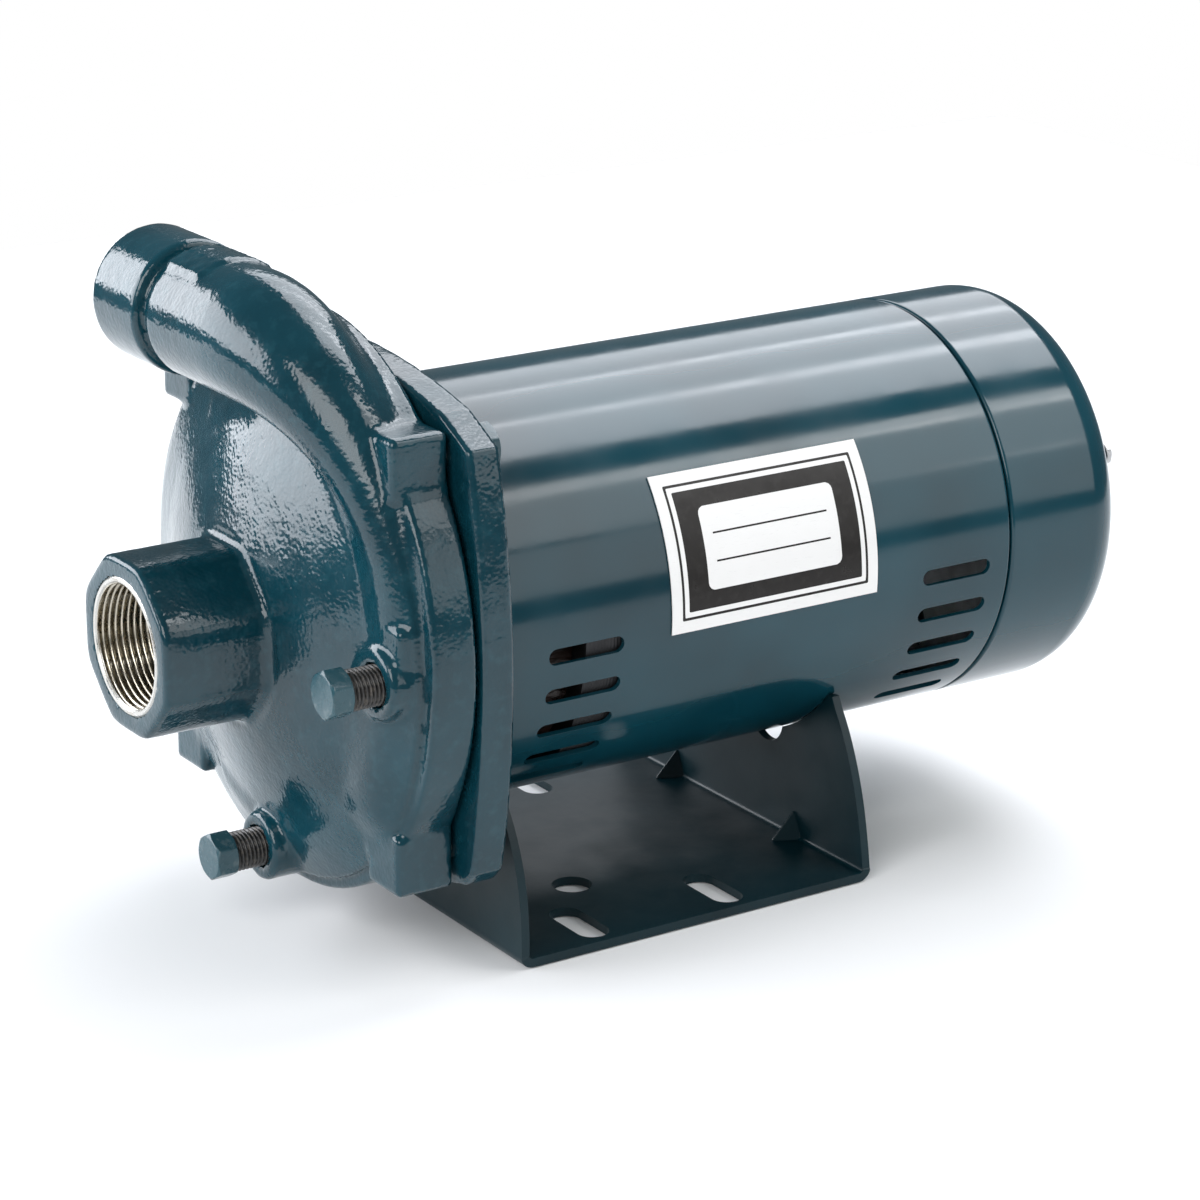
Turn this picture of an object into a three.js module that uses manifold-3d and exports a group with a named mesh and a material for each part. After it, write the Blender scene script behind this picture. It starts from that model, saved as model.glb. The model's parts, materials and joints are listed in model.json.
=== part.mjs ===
// A close-coupled end-suction jet pump: a cast volute casing bolted to the square flange
// of a rolled-steel motor on a folded sheet base. Millimetres, +Z up, +X from the suction
// port to the back of the motor. The origin is the middle of the underside of the base.
import * as THREE from 'three';
import { mergeVertices } from 'three/addons/utils/BufferGeometryUtils.js';
import Module from 'manifold-3d';

const wasm = await Module();
wasm.setup();

// Driving dimensions ---------------------------------------------------------------------
const GAP = 0.3; // between pieces that touch
const SHAFT_HEIGHT = 106.5; // shaft axis above the underside of the base

const SHELL_RADIUS = 71;
const SHELL_WALL = 1.6;
const SHELL_FRONT = -80.7;
const SEAM = 131; // back edge of the shell
const CANOPY_BACK = 184;
const CANOPY_EDGE_RADIUS = 16;

const FLANGE_FRONT = -92.5;
const FLANGE_BACK = -81;
const FLANGE_CORNER = { y: 84, top: 77, bottom: 71 }; // reach of the square flange's corners
const FLANGE_MIDDLE = { y: 92, top: 89, bottom: 82 }; // and of the middle of its bowed sides
const CASING_BOLTS = [[-66, 67], [-66, -62], [66, 67], [66, -62]]; // y and z of each

const CASING_BACK = -94.5;
const CASING_RIM_RADIUS = 90.5;
const CASING_RIM_GROWTH = 10.5; // the rim stands out further towards the discharge
const CASING_FRONT = -131; // where the cone of the front wall meets the suction boss
const CHAMBER_RADIUS = 66;
const PLATE_SEAT_RADIUS = 80; // counterbore that centres the seal plate
const PLATE_SEAT_FLOOR = -99.7;

const SUCTION_FACE = -169;
const SUCTION_BOSS_FLATS = 57;
const SUCTION_BORE_RADIUS = 20.15;
const SUCTION_BORE_DEPTH = 26;
const INLET_RADIUS = 17.5;

const DISCHARGE_HEIGHT = 94.8; // above the shaft axis
const DISCHARGE_END = 69.4; // y of the discharge face
const DISCHARGE_RADIUS = 22.5;
const DISCHARGE_BORE_RADIUS = 15.4;
const NECK_START = 34;
const NECK_END = 39;

const VENT_REACH = 74; // the vent plug stands this far to the near side of the shaft
const DRAIN_REACH = 77.5; // and the drain plug this far below it
const PLUG_TAP_RADIUS = 6.9;
const VENT_BOSS_FRONT = -118.5;
const DRAIN_BOSS_FRONT = -121.5;

const SHAFT_RADIUS = 8.2;
const ROTOR_RADIUS = 40;
const STACK_FRONT = -40;
const STACK_BACK = 30;

const BASE_HALF_LENGTH = 70;
const BASE_HALF_WIDTH = 76.5;
const SHEET = 3;

const FINE = 40; // facets around large round shapes
const MEDIUM = 24;
const SMALL = 12;

// Materials ------------------------------------------------------------------------------
const material = (color, roughness, metalness) =>
  new THREE.MeshStandardMaterial({ color, roughness, metalness });
const enamel = () => material(0x2a5260, 0.22, 0.3);
const castEnamel = () => material(0x35606e, 0.35, 0.3);
const steel = () => material(0x9aa0a4, 0.35, 1);
const darkSteel = () => material(0x54585c, 0.5, 1);
const aluminium = () => material(0xb4b8ba, 0.45, 1);
const copper = () => material(0xb06a3a, 0.4, 0.8);
const black = () => material(0x1c1c1e, 0.6, 0);
const bronze = () => material(0xb08a48, 0.35, 1);

// Solids ---------------------------------------------------------------------------------
// A closed geometry as a solid that can be cut and joined, with its faces pointing outwards.
function solidOf(geometry) {
  const bare = geometry.clone();
  bare.deleteAttribute('normal');
  bare.deleteAttribute('uv');
  const merged = mergeVertices(bare, 1e-4);
  const points = merged.attributes.position.array;
  const triangles = [];
  for (let i = 0; i < merged.index.count; i += 3) {
    const [a, b, c] = [0, 1, 2].map((k) => merged.index.getX(i + k));
    if (a !== b && b !== c && c !== a) triangles.push([a, b, c]);
  }
  const vector = (i) => new THREE.Vector3().fromArray(points, 3 * i);
  const volume = triangles.reduce(
    (sum, [a, b, c]) => sum + vector(a).dot(vector(b).cross(vector(c))),
    0,
  );
  const facing = volume < 0 ? triangles.map(([a, b, c]) => [a, c, b]) : triangles;
  return new wasm.Manifold(
    new wasm.Mesh({
      numProp: 3,
      vertProperties: new Float32Array(points),
      triVerts: new Uint32Array(facing.flat()),
    }),
  );
}

function geometryOf(solid) {
  const mesh = solid.getMesh();
  const geometry = new THREE.BufferGeometry();
  geometry.setAttribute('position', new THREE.BufferAttribute(mesh.vertProperties, 3));
  geometry.setIndex(new THREE.BufferAttribute(mesh.triVerts, 1));
  geometry.computeVertexNormals();
  return geometry;
}

const join = (first, ...rest) => rest.reduce((whole, piece) => whole.add(piece), first);
const cut = (first, ...rest) => rest.reduce((whole, piece) => whole.subtract(piece), first);

// A profile of [x, radius] points turned about the X axis.
function turned(profile, segments = MEDIUM) {
  const points = profile.map(([x, radius]) => new THREE.Vector2(radius, x));
  return solidOf(new THREE.LatheGeometry(points, segments).rotateZ(-Math.PI / 2));
}

const rod = (x0, x1, radius, segments = MEDIUM) =>
  turned([[x0, 0], [x0, radius], [x1, radius], [x1, 0]], segments);

const ring = (x0, x1, inner, outer, segments = MEDIUM) =>
  turned([[x0, inner], [x0, outer], [x1, outer], [x1, inner], [x0, inner]], segments);

const moved = (solid, x, y, z) => solid.translate([x, y, z]);

const sideRod = (x0, x1, radius, y, z, segments = SMALL) =>
  moved(rod(x0, x1, radius, segments), 0, y, z);

// A rod along Y from y0 to y1.
function crossRod(x, y0, y1, z, radius, segments = MEDIUM) {
  const geometry = new THREE.CylinderGeometry(radius, radius, y1 - y0, segments);
  return solidOf(geometry.translate(x, (y0 + y1) / 2, z));
}

// A flat outline in the YZ plane, extruded from x0 to x1.
function slab(outline, x0, x1, curveSegments = 12) {
  const geometry = new THREE.ExtrudeGeometry(outline, {
    depth: x1 - x0,
    bevelEnabled: false,
    curveSegments,
  });
  const turn = new THREE.Matrix4().makeBasis(
    new THREE.Vector3(0, 1, 0),
    new THREE.Vector3(0, 0, 1),
    new THREE.Vector3(1, 0, 0),
  );
  return moved(solidOf(geometry.applyMatrix4(turn)), x0, 0, 0);
}

function block(x0, x1, y0, y1, z0, z1) {
  const geometry = new THREE.BoxGeometry(x1 - x0, y1 - y0, z1 - z0);
  return solidOf(geometry.translate((x0 + x1) / 2, (y0 + y1) / 2, (z0 + z1) / 2));
}

function outlineOf(points) {
  const outline = new THREE.Shape();
  outline.setFromPoints(points.map(([y, z]) => new THREE.Vector2(y, z)));
  return outline;
}

function polygonOutline(sides, flats, corner = 0) {
  const radius = flats / 2 / Math.cos(Math.PI / sides);
  const points = [];
  for (let i = 0; i < sides; i++) {
    const angle = ((i + 0.5) * 2 * Math.PI) / sides + corner;
    points.push([radius * Math.cos(angle), radius * Math.sin(angle)]);
  }
  return outlineOf(points);
}

const around = (count, start, place) =>
  Array.from({ length: count }, (_, i) => place(start + (i * 2 * Math.PI) / count, i));

// Pump end -------------------------------------------------------------------------------
// The volute is a tube whose middle line spirals out to the discharge at the top. `turn` is
// the angle back from the top, against the flow, and `wall` is taken off the tube's radius.
const VOLUTE_START = 5.4;
const VOLUTE_WALL = 6;
const VOLUTE_SMALL = { x: -108, radius: 9, reach: 70 };
const VOLUTE_END_RADIUS = 21.3;
const DISCHARGE_X = -120;

// Both fall from 1 at the discharge: the spiral comes in slowly, and its tube slims sooner.
const swell = (turn) => Math.exp(-((turn / 1.12) ** 2));
const fatness = (turn) => Math.exp(-((turn / 0.65) ** 2));

function voluteStation(turn, wall) {
  const { x, radius, reach } = VOLUTE_SMALL;
  const distance = reach + (DISCHARGE_HEIGHT - reach) * swell(turn);
  return {
    centre: new THREE.Vector3(
      x + (DISCHARGE_X - x) * swell(turn) ** 2,
      -distance * Math.sin(turn),
      distance * Math.cos(turn),
    ),
    radius: radius + (VOLUTE_END_RADIUS - radius) * fatness(turn) - wall,
  };
}

function voluteStations(wall, steps) {
  const stations = [];
  for (let i = 0; i <= steps; i++) {
    const turn = VOLUTE_START + (0.15 - VOLUTE_START) * (i / steps);
    stations.push(voluteStation(turn, wall));
  }
  for (const y of [10, 22, NECK_START]) {
    const centre = new THREE.Vector3(DISCHARGE_X, y, DISCHARGE_HEIGHT);
    stations.push({ centre, radius: VOLUTE_END_RADIUS - wall });
  }
  return stations;
}

// Circular sections swept through the stations, closed by a fan at each end.
function sweep(stations, sides) {
  const points = [];
  const index = [];
  stations.forEach(({ centre, radius }, i) => {
    const before = stations[Math.max(i - 1, 0)].centre;
    const after = stations[Math.min(i + 1, stations.length - 1)].centre;
    const tangent = after.clone().sub(before).normalize();
    const across = new THREE.Vector3(1, 0, 0);
    across.addScaledVector(tangent, -across.dot(tangent)).normalize();
    const up = new THREE.Vector3().crossVectors(tangent, across);
    for (let k = 0; k < sides; k++) {
      const angle = (k * 2 * Math.PI) / sides;
      const point = centre.clone();
      point.addScaledVector(across, radius * Math.cos(angle));
      point.addScaledVector(up, radius * Math.sin(angle));
      points.push(...point.toArray());
    }
  });
  points.push(...stations[0].centre.toArray(), ...stations.at(-1).centre.toArray());
  const last = (stations.length - 1) * sides;
  for (let k = 0; k < sides; k++) {
    const next = (k + 1) % sides;
    for (let base = 0; base < last; base += sides) {
      index.push(base + k, base + next, base + sides + k);
      index.push(base + next, base + sides + next, base + sides + k);
    }
    index.push(last + sides, next, k);
    index.push(last + sides + 1, last + k, last + next);
  }
  const geometry = new THREE.BufferGeometry();
  geometry.setAttribute('position', new THREE.Float32BufferAttribute(points, 3));
  geometry.setIndex(index);
  return solidOf(geometry);
}

const plugs = {
  vent_plug: { y: -VENT_REACH, z: 0, bossFront: VENT_BOSS_FRONT },
  drain_plug: { y: 0, z: -DRAIN_REACH, bossFront: DRAIN_BOSS_FRONT },
};

// A block around a casing bolt, with its outer corner cut off.
function cornerLug([y, z]) {
  const [inward, outward, trim] = [10, 10, 5];
  const outline = outlineOf([
    [-inward, -inward], [outward, -inward], [outward, outward - trim],
    [outward - trim, outward], [-inward, outward],
  ].map(([across, up]) => [y + Math.sign(y) * across, z + Math.sign(z) * up]));
  return slab(outline, -114.5, CASING_BACK);
}

// The rim is a disc whose edge swells out with the volute.
function casingRim() {
  const steps = 36;
  const points = [];
  for (let i = 0; i <= steps; i++) {
    const turn = (i * 2 * Math.PI) / steps;
    const radius = CASING_RIM_RADIUS + CASING_RIM_GROWTH * swell(turn);
    points.push([-radius * Math.sin(turn), radius * Math.cos(turn)]);
  }
  return slab(outlineOf(points), -112, CASING_BACK);
}

function suctionBoss() {
  const octagon = slab(polygonOutline(8, SUCTION_BOSS_FLATS), SUCTION_FACE, CASING_FRONT + 4);
  return octagon.intersect(
    rod(SUCTION_FACE, CASING_FRONT + 4, SUCTION_BOSS_FLATS / 2 + 1.8, 40));
}

// The upright channel cast between the vent boss and the bottom of the casing.
function castRib() {
  const geometry = new THREE.CylinderGeometry(11, 11, 62, 16);
  geometry.rotateX(Math.PI / 2);
  return solidOf(geometry.translate(-105.5, -64, -31));
}

function casingOutside() {
  const body = turned([
    [-100, 0],
    [-100, CASING_RIM_RADIUS - 1],
    [-110, CASING_RIM_RADIUS - 1],
    [-110, 86.5],
    [-112.5, 86.5],
    [-114.5, 82],
    [-119, 67],
    [-123.5, 52],
    [-127, 41],
    [CASING_FRONT, 33.5],
    [CASING_FRONT, 0],
  ], FINE);
  const volute = sweep(voluteStations(0, 24), 18);
  const neck = crossRod(DISCHARGE_X, NECK_START - 1, NECK_END + 1, DISCHARGE_HEIGHT, 20, 32);
  const collar = crossRod(
    DISCHARGE_X, NECK_END, DISCHARGE_END, DISCHARGE_HEIGHT, DISCHARGE_RADIUS, 32);
  const lugs = CASING_BOLTS.map(cornerLug);
  const bosses = Object.values(plugs).map(({ y, z, bossFront }) =>
    sideRod(bossFront, -108, 12.5, y, z, 20));
  return join(
    body, casingRim(), suctionBoss(), castRib(), volute, neck, collar, ...lugs, ...bosses);
}

// The water side: taper-bored suction, impeller chamber, volute passage and discharge.
function casingInside() {
  const boreEnd = SUCTION_FACE + SUCTION_BORE_DEPTH;
  const chamber = turned([
    [SUCTION_FACE - 1, 0],
    [SUCTION_FACE - 1, SUCTION_BORE_RADIUS],
    [boreEnd, SUCTION_BORE_RADIUS - 0.8],
    [boreEnd + 2, INLET_RADIUS],
    [-124, INLET_RADIUS],
    [-121.5, 20.5],
    [-121.5, 25.8],
    [-115, 25.8],
    [-115, CHAMBER_RADIUS - 8],
    [-111, CHAMBER_RADIUS],
    [PLATE_SEAT_FLOOR, CHAMBER_RADIUS],
    [PLATE_SEAT_FLOOR, PLATE_SEAT_RADIUS],
    [CASING_BACK + 1, PLATE_SEAT_RADIUS],
    [CASING_BACK + 1, 0],
  ], 36);
  const passage = sweep(voluteStations(VOLUTE_WALL, 20), 10);
  const outlet = crossRod(
    DISCHARGE_X, NECK_START - 4, DISCHARGE_END + 1, DISCHARGE_HEIGHT,
    DISCHARGE_BORE_RADIUS, 24);
  const taps = Object.values(plugs).map(({ y, z }) =>
    sideRod(-140, -108, PLUG_TAP_RADIUS, y, z, 20));
  const boltHoles = CASING_BOLTS.map(([y, z]) => sideRod(-103.6, CASING_BACK + 1, 4.4, y, z));
  return join(chamber, passage, outlet, ...taps, ...boltHoles);
}

const voluteCasing = () => casingOutside().subtract(casingInside());

const wearRing = () => ring(-121.2, -115.3, 22.6, 25.4, 32);

function casingORing() {
  const profile = [];
  for (let k = 0; k <= 6; k++) {
    const angle = (k * Math.PI) / 3;
    profile.push([-97.8 + 1.3 * Math.cos(angle), 78.1 + 1.2 * Math.sin(angle)]);
  }
  return turned(profile, 36);
}

// The seal plate closes the chamber and holds the stationary seat in a cup at its middle.
const sealPlate = () => turned([
  [-99.4, 18.5],
  [-99.4, 76.6],
  [-96.2, 76.6],
  [-96.2, 79.6],
  [FLANGE_FRONT - GAP, 79.6],
  [FLANGE_FRONT - GAP, 22],
  [-71, 22],
  [-71, 9.6],
  [-73, 9.6],
  [-73, 16.2],
  [-80.3, 16.2],
  [-80.3, 18.5],
  [-99.4, 18.5],
], 36);

function casingBolt() {
  const shank = rod(-103.2, FLANGE_BACK + 1, 4, 12);
  const washer = rod(FLANGE_BACK + GAP, FLANGE_BACK + 1.6, 8.5, 20);
  const head = slab(polygonOutline(6, 14), FLANGE_BACK + 1.4, FLANGE_BACK + 7.4);
  return join(shank, washer, head);
}

// A pipe plug with a hexagon head, screwed part of the way into its boss.
function pipePlug(bossFront) {
  const shank = rod(bossFront - 14, bossFront + 8, PLUG_TAP_RADIUS - GAP, 20);
  const head = slab(polygonOutline(6, 14.3), bossFront - 20.5, bossFront - 13.5);
  return shank.add(head);
}

// One backward-curved vane: a strip that falls behind the rotation as it goes out.
function vaneOutline(start) {
  const [inner, outer, steps] = [20, 58, 4];
  const side = (offset) => Array.from({ length: steps + 1 }, (_, i) => {
    const radius = inner + ((outer - inner) * i) / steps;
    const angle = start + (radius - inner) * 0.028 + offset / radius;
    return [radius * Math.cos(angle), radius * Math.sin(angle)];
  });
  return outlineOf([...side(-1.1), ...side(1.1).reverse()]);
}

function impeller() {
  const frontShroud = turned([
    [-120.6, 18.5], [-120.6, 22.1], [-112.2, 22.1], [-112.2, 59],
    [-110.6, 59], [-110.6, 18.5], [-120.6, 18.5],
  ], 32);
  const backShroud = turned([
    [-115, 0], [-114, 8], [-107, 13], [-106.2, 59], [-104.2, 59], [-104.2, 13],
    [-102.6, 13], [-102.6, SHAFT_RADIUS + GAP], [-112, SHAFT_RADIUS + GAP], [-112, 0],
  ], 32);
  const vanes = around(5, 0.3, (angle) => slab(vaneOutline(angle), -111.2, -105.6));
  return join(frontShroud, backShroud, ...vanes);
}

const sealSeat = () => ring(-79.9, -73.3, 9.6, 15.9);
const sealHead = () => ring(-85.5, -80.3, SHAFT_RADIUS + GAP, 13.5);

function sealSpring() {
  const [front, back, coils, radius] = [-101, -87, 3.5, 11];
  const path = new THREE.Curve();
  path.getPoint = (t) => {
    const angle = t * coils * 2 * Math.PI;
    return new THREE.Vector3(
      front + (back - front) * t, radius * Math.cos(angle), radius * Math.sin(angle));
  };
  const wire = new THREE.Shape();
  wire.absarc(0, 0, 0.9, 0, 2 * Math.PI);
  return solidOf(new THREE.ExtrudeGeometry(wire, {
    steps: 28,
    curveSegments: 2,
    bevelEnabled: false,
    extrudePath: path,
  }));
}

const slinger = () => ring(-70.2, -67, SHAFT_RADIUS + GAP, 9.4);

// Motor ----------------------------------------------------------------------------------
// The square flange with bowed sides that carries the casing bolts.
function flangeOutline() {
  const { y, top, bottom } = FLANGE_CORNER;
  const trim = 5;
  const control = (middle, corner) => 2 * middle - corner;
  const side = control(FLANGE_MIDDLE.y, y);
  const outline = new THREE.Shape();
  outline.moveTo(-y + trim, -bottom);
  outline.quadraticCurveTo(0, -control(FLANGE_MIDDLE.bottom, bottom), y - trim, -bottom);
  outline.lineTo(y, -bottom + trim);
  outline.quadraticCurveTo(side, 0, y, top - trim);
  outline.lineTo(y - trim, top);
  outline.quadraticCurveTo(0, control(FLANGE_MIDDLE.top, top), -y + trim, top);
  outline.lineTo(-y, top - trim);
  outline.quadraticCurveTo(-side, 0, -y, -bottom + trim);
  outline.closePath();
  return outline;
}

const SHELL_INSIDE = SHELL_RADIUS - SHELL_WALL;
const BEARING_FRONT = { x: -66, width: 12, inner: 8.5, outer: 20 };
const BEARING_REAR = { x: 112, width: 11, inner: 8.5, outer: 17.5 };
const THROUGH_BOLT_RADIUS = 64.5;
const throughBoltAngles = [70, 160, 250, 340].map(THREE.MathUtils.degToRad);

const atAngle = (radius, angle) => [radius * Math.cos(angle), radius * Math.sin(angle)];

function endBellFront() {
  const flange = slab(flangeOutline(), FLANGE_FRONT, FLANGE_BACK, 8);
  const spigot = rod(FLANGE_BACK - 1, -74, SHELL_INSIDE - GAP, FINE);
  const hub = turned([[-80, 0], [-80, 34], [-66, 30], [-53.7, 24], [-53.7, 0]], 32);
  const sealCup = rod(FLANGE_FRONT - 1, -70.7, 22.3 + GAP, 32);
  const shaftHole = rod(-72, -60, 9.7, 24);
  const pocket = rod(BEARING_FRONT.x - GAP, -52, BEARING_FRONT.outer + GAP, 32);
  const boltHoles = CASING_BOLTS.map(([y, z]) =>
    sideRod(FLANGE_FRONT - 1, FLANGE_BACK + 1, 4.4, y, z));
  const tieHoles = throughBoltAngles.map((angle) =>
    sideRod(-78, -73, 2.6, ...atAngle(THROUGH_BOLT_RADIUS, angle), 10));
  return cut(join(flange, spigot, hub), sealCup, shaftHole, pocket, ...boltHoles, ...tieHoles);
}

// Rows of round-ended cooling slots low on both sides of the shell.
const SLOT_ANGLES = [-4, -15.5, -27, -38.5, -50].map(THREE.MathUtils.degToRad);
const SLOT_CENTRES = [-41, 108];
const SLOT_LENGTH = 28.5;
const SLOT_WIDTH = 5.6;

function coolingSlot(x, side, angle) {
  const straight = (SLOT_LENGTH - SLOT_WIDTH) / 2;
  const outline = new THREE.Shape();
  outline.absarc(straight, 0, SLOT_WIDTH / 2, -Math.PI / 2, Math.PI / 2);
  outline.absarc(-straight, 0, SLOT_WIDTH / 2, Math.PI / 2, (3 * Math.PI) / 2);
  const geometry = new THREE.ExtrudeGeometry(outline, {
    depth: 8,
    bevelEnabled: false,
    curveSegments: 3,
  });
  geometry.translate(x, 0, SHELL_RADIUS - 5);
  geometry.rotateX(side * (Math.PI / 2 - angle));
  return solidOf(geometry);
}

function motorShell() {
  const tube = ring(SHELL_FRONT, SEAM, SHELL_INSIDE, SHELL_RADIUS, FINE);
  const slots = SLOT_CENTRES.flatMap((x) =>
    [-1, 1].flatMap((side) => SLOT_ANGLES.map((angle) => coolingSlot(x, side, angle))));
  return cut(tube, ...slots);
}

const WINDING_SLOTS = 8;

function windingBars(x0, x1, inner, outer, halfWidth) {
  return around(WINDING_SLOTS, Math.PI / 12, (angle) =>
    block(x0, x1, inner, outer, -halfWidth, halfWidth)
      .rotate([THREE.MathUtils.radToDeg(angle), 0, 0]));
}

function statorCore() {
  const stack = ring(STACK_FRONT, STACK_BACK, ROTOR_RADIUS + 0.8, SHELL_INSIDE - GAP, 36);
  const slots = windingBars(STACK_FRONT - 1, STACK_BACK + 1, 44, 57, 3.2);
  const tieHoles = throughBoltAngles.map((angle) => sideRod(
    STACK_FRONT - 1, STACK_BACK + 1, 2.6, ...atAngle(THROUGH_BOLT_RADIUS, angle), 8));
  return cut(stack, ...slots, ...tieHoles);
}

function statorWindings() {
  const bars = windingBars(STACK_FRONT - 6, STACK_BACK + 6, 44.4, 56.6, 2.8);
  const endTurn = (x0, x1) => turned([
    [x0, 46], [x0, 60], [x1, 62], [x1, 44], [x0, 46],
  ], 32);
  return join(endTurn(-57, -40.6), endTurn(30.6, 47), ...bars);
}

function rotorCage() {
  return turned([
    [STACK_FRONT - 8, 30], [STACK_FRONT - 8, 38], [STACK_FRONT, 38],
    [STACK_FRONT, ROTOR_RADIUS], [STACK_BACK, ROTOR_RADIUS], [STACK_BACK, 38],
    [STACK_BACK + 8, 38], [STACK_BACK + 8, 30], [STACK_BACK, 30],
    [STACK_BACK, 10.3], [STACK_FRONT, 10.3], [STACK_FRONT, 30], [STACK_FRONT - 8, 30],
  ], 36);
}

const SHAFT_BACK = 143.5;

const shaft = () => turned([
  [-111.7, 0], [-111.7, SHAFT_RADIUS - 0.6], [-111, SHAFT_RADIUS], [-48, SHAFT_RADIUS],
  [-48, 10], [110, 10], [110, SHAFT_RADIUS], [SHAFT_BACK - 1, SHAFT_RADIUS],
  [SHAFT_BACK, SHAFT_RADIUS - 1], [SHAFT_BACK, 0],
], 24);

const bearingOuter = ({ x, width, outer }) => ring(x, x + width, outer - 3, outer);

const bearingInner = ({ x, width, inner }) => ring(x, x + width, inner, inner + 2.6);

function bearingBalls({ x, width, inner, outer }) {
  const gap = outer - 3 - (inner + 2.6);
  const pitch = inner + 2.6 + gap / 2;
  const ball = gap / 2 - 0.15;
  const middle = x + width / 2;
  const cage = ring(middle - 1, middle + 1, pitch - 0.6, pitch + 0.6, 21);
  const balls = around(7, 0, (angle) => {
    const [y, z] = atAngle(pitch, angle);
    return solidOf(new THREE.SphereGeometry(ball, 6, 4).translate(middle, y, z));
  });
  return join(cage, ...balls);
}

const waveWasher = () => ring(123.3, 124.2, 13, 17);

function endBellRear() {
  const web = rod(124.8, 130.6, SHELL_INSIDE - GAP, FINE);
  const hub = turned([[111.5, 0], [111.5, 21], [126, 25], [126, 0]], 32);
  const pocket = rod(110, 124.5, BEARING_REAR.outer + GAP, 32);
  const shaftHole = rod(120, 132, 10.5, 20);
  const windows = around(6, 0, (angle) =>
    sideRod(123, 132, 11, ...atAngle(44, angle), 14));
  const tieHoles = throughBoltAngles.map((angle) =>
    sideRod(123, 132, 2.6, ...atAngle(THROUGH_BOLT_RADIUS, angle), 10));
  const screwHoles = canopyScrews.map(([y, z]) => sideRod(123, 132, 2.4, y, z, 10));
  return cut(join(web, hub), pocket, shaftHole, ...windows, ...tieHoles, ...screwHoles);
}

// Screws from the front bell through the stator stack to nuts behind the rear bell.
const throughBolt = () => join(
  rod(-77.5, 134, 2.2, 8),
  slab(polygonOutline(6, 6.5), -73.7, -70.5),
  slab(polygonOutline(6, 6.5), 130.9, 134.5),
);

function coolingFan() {
  const hub = ring(62, 78, 10.3, 18);
  const disc = ring(62, 64, 17, 50, 32);
  const blades = around(8, 0.2, (angle) =>
    block(63, 77, 17, 49, -0.9, 0.9).rotate([THREE.MathUtils.radToDeg(angle), 0, 0]));
  return join(hub, disc, ...blades);
}

// Centrifugal switch: weights on a plate draw a sliding collar away from the switch arm.
function governorPlate() {
  const plate = ring(133, 134.8, SHAFT_RADIUS + GAP, 20);
  const weights = [-1, 1].map((side) =>
    block(134, 138, side > 0 ? 13.5 : -19, side > 0 ? 19 : -13.5, -9, 9));
  return join(plate, ...weights);
}

const governorCollar = () => ring(141, 146.7, SHAFT_RADIUS + 0.4, 12.5);

const ARM_PIVOT = { x: 150.5, z: 26 };

function switchArm() {
  const strip = block(147.4, 148.6, -3.6, 3.6, -12, 24);
  const heel = block(147.4, 151, -3.6, 3.6, 23, 28.5);
  const pin = crossRod(ARM_PIVOT.x, -7.6, 7.6, ARM_PIVOT.z, 1.2, 12);
  return join(strip, heel, pin);
}

function switchBoard() {
  const board = block(153, 155.5, -36, 36, -14, 38);
  const ears = [-1, 1].map((side) =>
    block(148.6, 154, side > 0 ? 4.2 : -8, side > 0 ? 8 : -4.2, 22, 30));
  const posts = boardPosts.map(([y, z]) => sideRod(130.9, 154, 3.4, y, z, 12));
  const terminals = [-24, -8, 8, 24].map((y) => block(155, 160, y - 3, y + 3, 28, 34));
  const pinHole = crossRod(ARM_PIVOT.x, -10, 10, ARM_PIVOT.z, 1.6, 12);
  return cut(join(board, ...ears, ...posts, ...terminals), pinHole);
}

const boardPosts = [[-31, 2], [31, 2]];
const CAPACITOR = { x: 157, z: -39, radius: 16, halfLength: 36 };

function startCapacitor() {
  const { x, z, radius, halfLength } = CAPACITOR;
  const can = crossRod(x, -halfLength, halfLength - 3, z, radius);
  const cap = crossRod(x, halfLength - 4, halfLength, z, radius - 1.5);
  const tabs = [-5, 5].map((dx) =>
    block(x + dx - 0.5, x + dx + 0.5, halfLength - 1, halfLength + 5, z - 3, z + 3));
  return join(can, cap, ...tabs);
}

function capacitorClip() {
  const { x, z, radius } = CAPACITOR;
  const band = cut(
    crossRod(x, -7, 7, z, radius + 1.8),
    crossRod(x, -8, 8, z, radius + GAP),
  );
  const foot = block(130.9, x - radius - 0.8, -7, 7, z - 1.5, z + 1.5);
  return join(band, foot);
}

const canopyScrews = [[-52, 20], [52, 20]];

function rearCanopy() {
  const [front, back, edge, wall] = [SEAM + 0.9, CANOPY_BACK, CANOPY_EDGE_RADIUS, 1.4];
  const steps = 3;
  const arc = (radius, end, corner) => Array.from({ length: steps + 1 }, (_, i) => {
    const angle = (i / steps) * (Math.PI / 2);
    return [end - corner + corner * Math.sin(angle), radius - corner + corner * Math.cos(angle)];
  });
  const outside = arc(SHELL_RADIUS, back, edge);
  const inside = arc(SHELL_RADIUS - wall, back - wall, edge - wall).reverse();
  const cup = turned([
    [front, SHELL_RADIUS - wall], [front, SHELL_RADIUS], ...outside,
    [back, 0], [back - wall, 0], ...inside, [front, SHELL_RADIUS - wall],
  ], FINE);
  const screwHoles = canopyScrews.map(([y, z]) => sideRod(back - 4, back + 1, 2.6, y, z, 10));
  const conduitEntry = crossRod(158, SHELL_RADIUS - 8, SHELL_RADIUS + 2, 0, 11, 20);
  return cut(cup, conduitEntry, ...screwHoles);
}

const canopyScrew = () => join(
  rod(124, CANOPY_BACK + 1, 2, 10),
  slab(polygonOutline(6, 8), CANOPY_BACK + GAP, CANOPY_BACK + 3.6),
);

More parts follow.
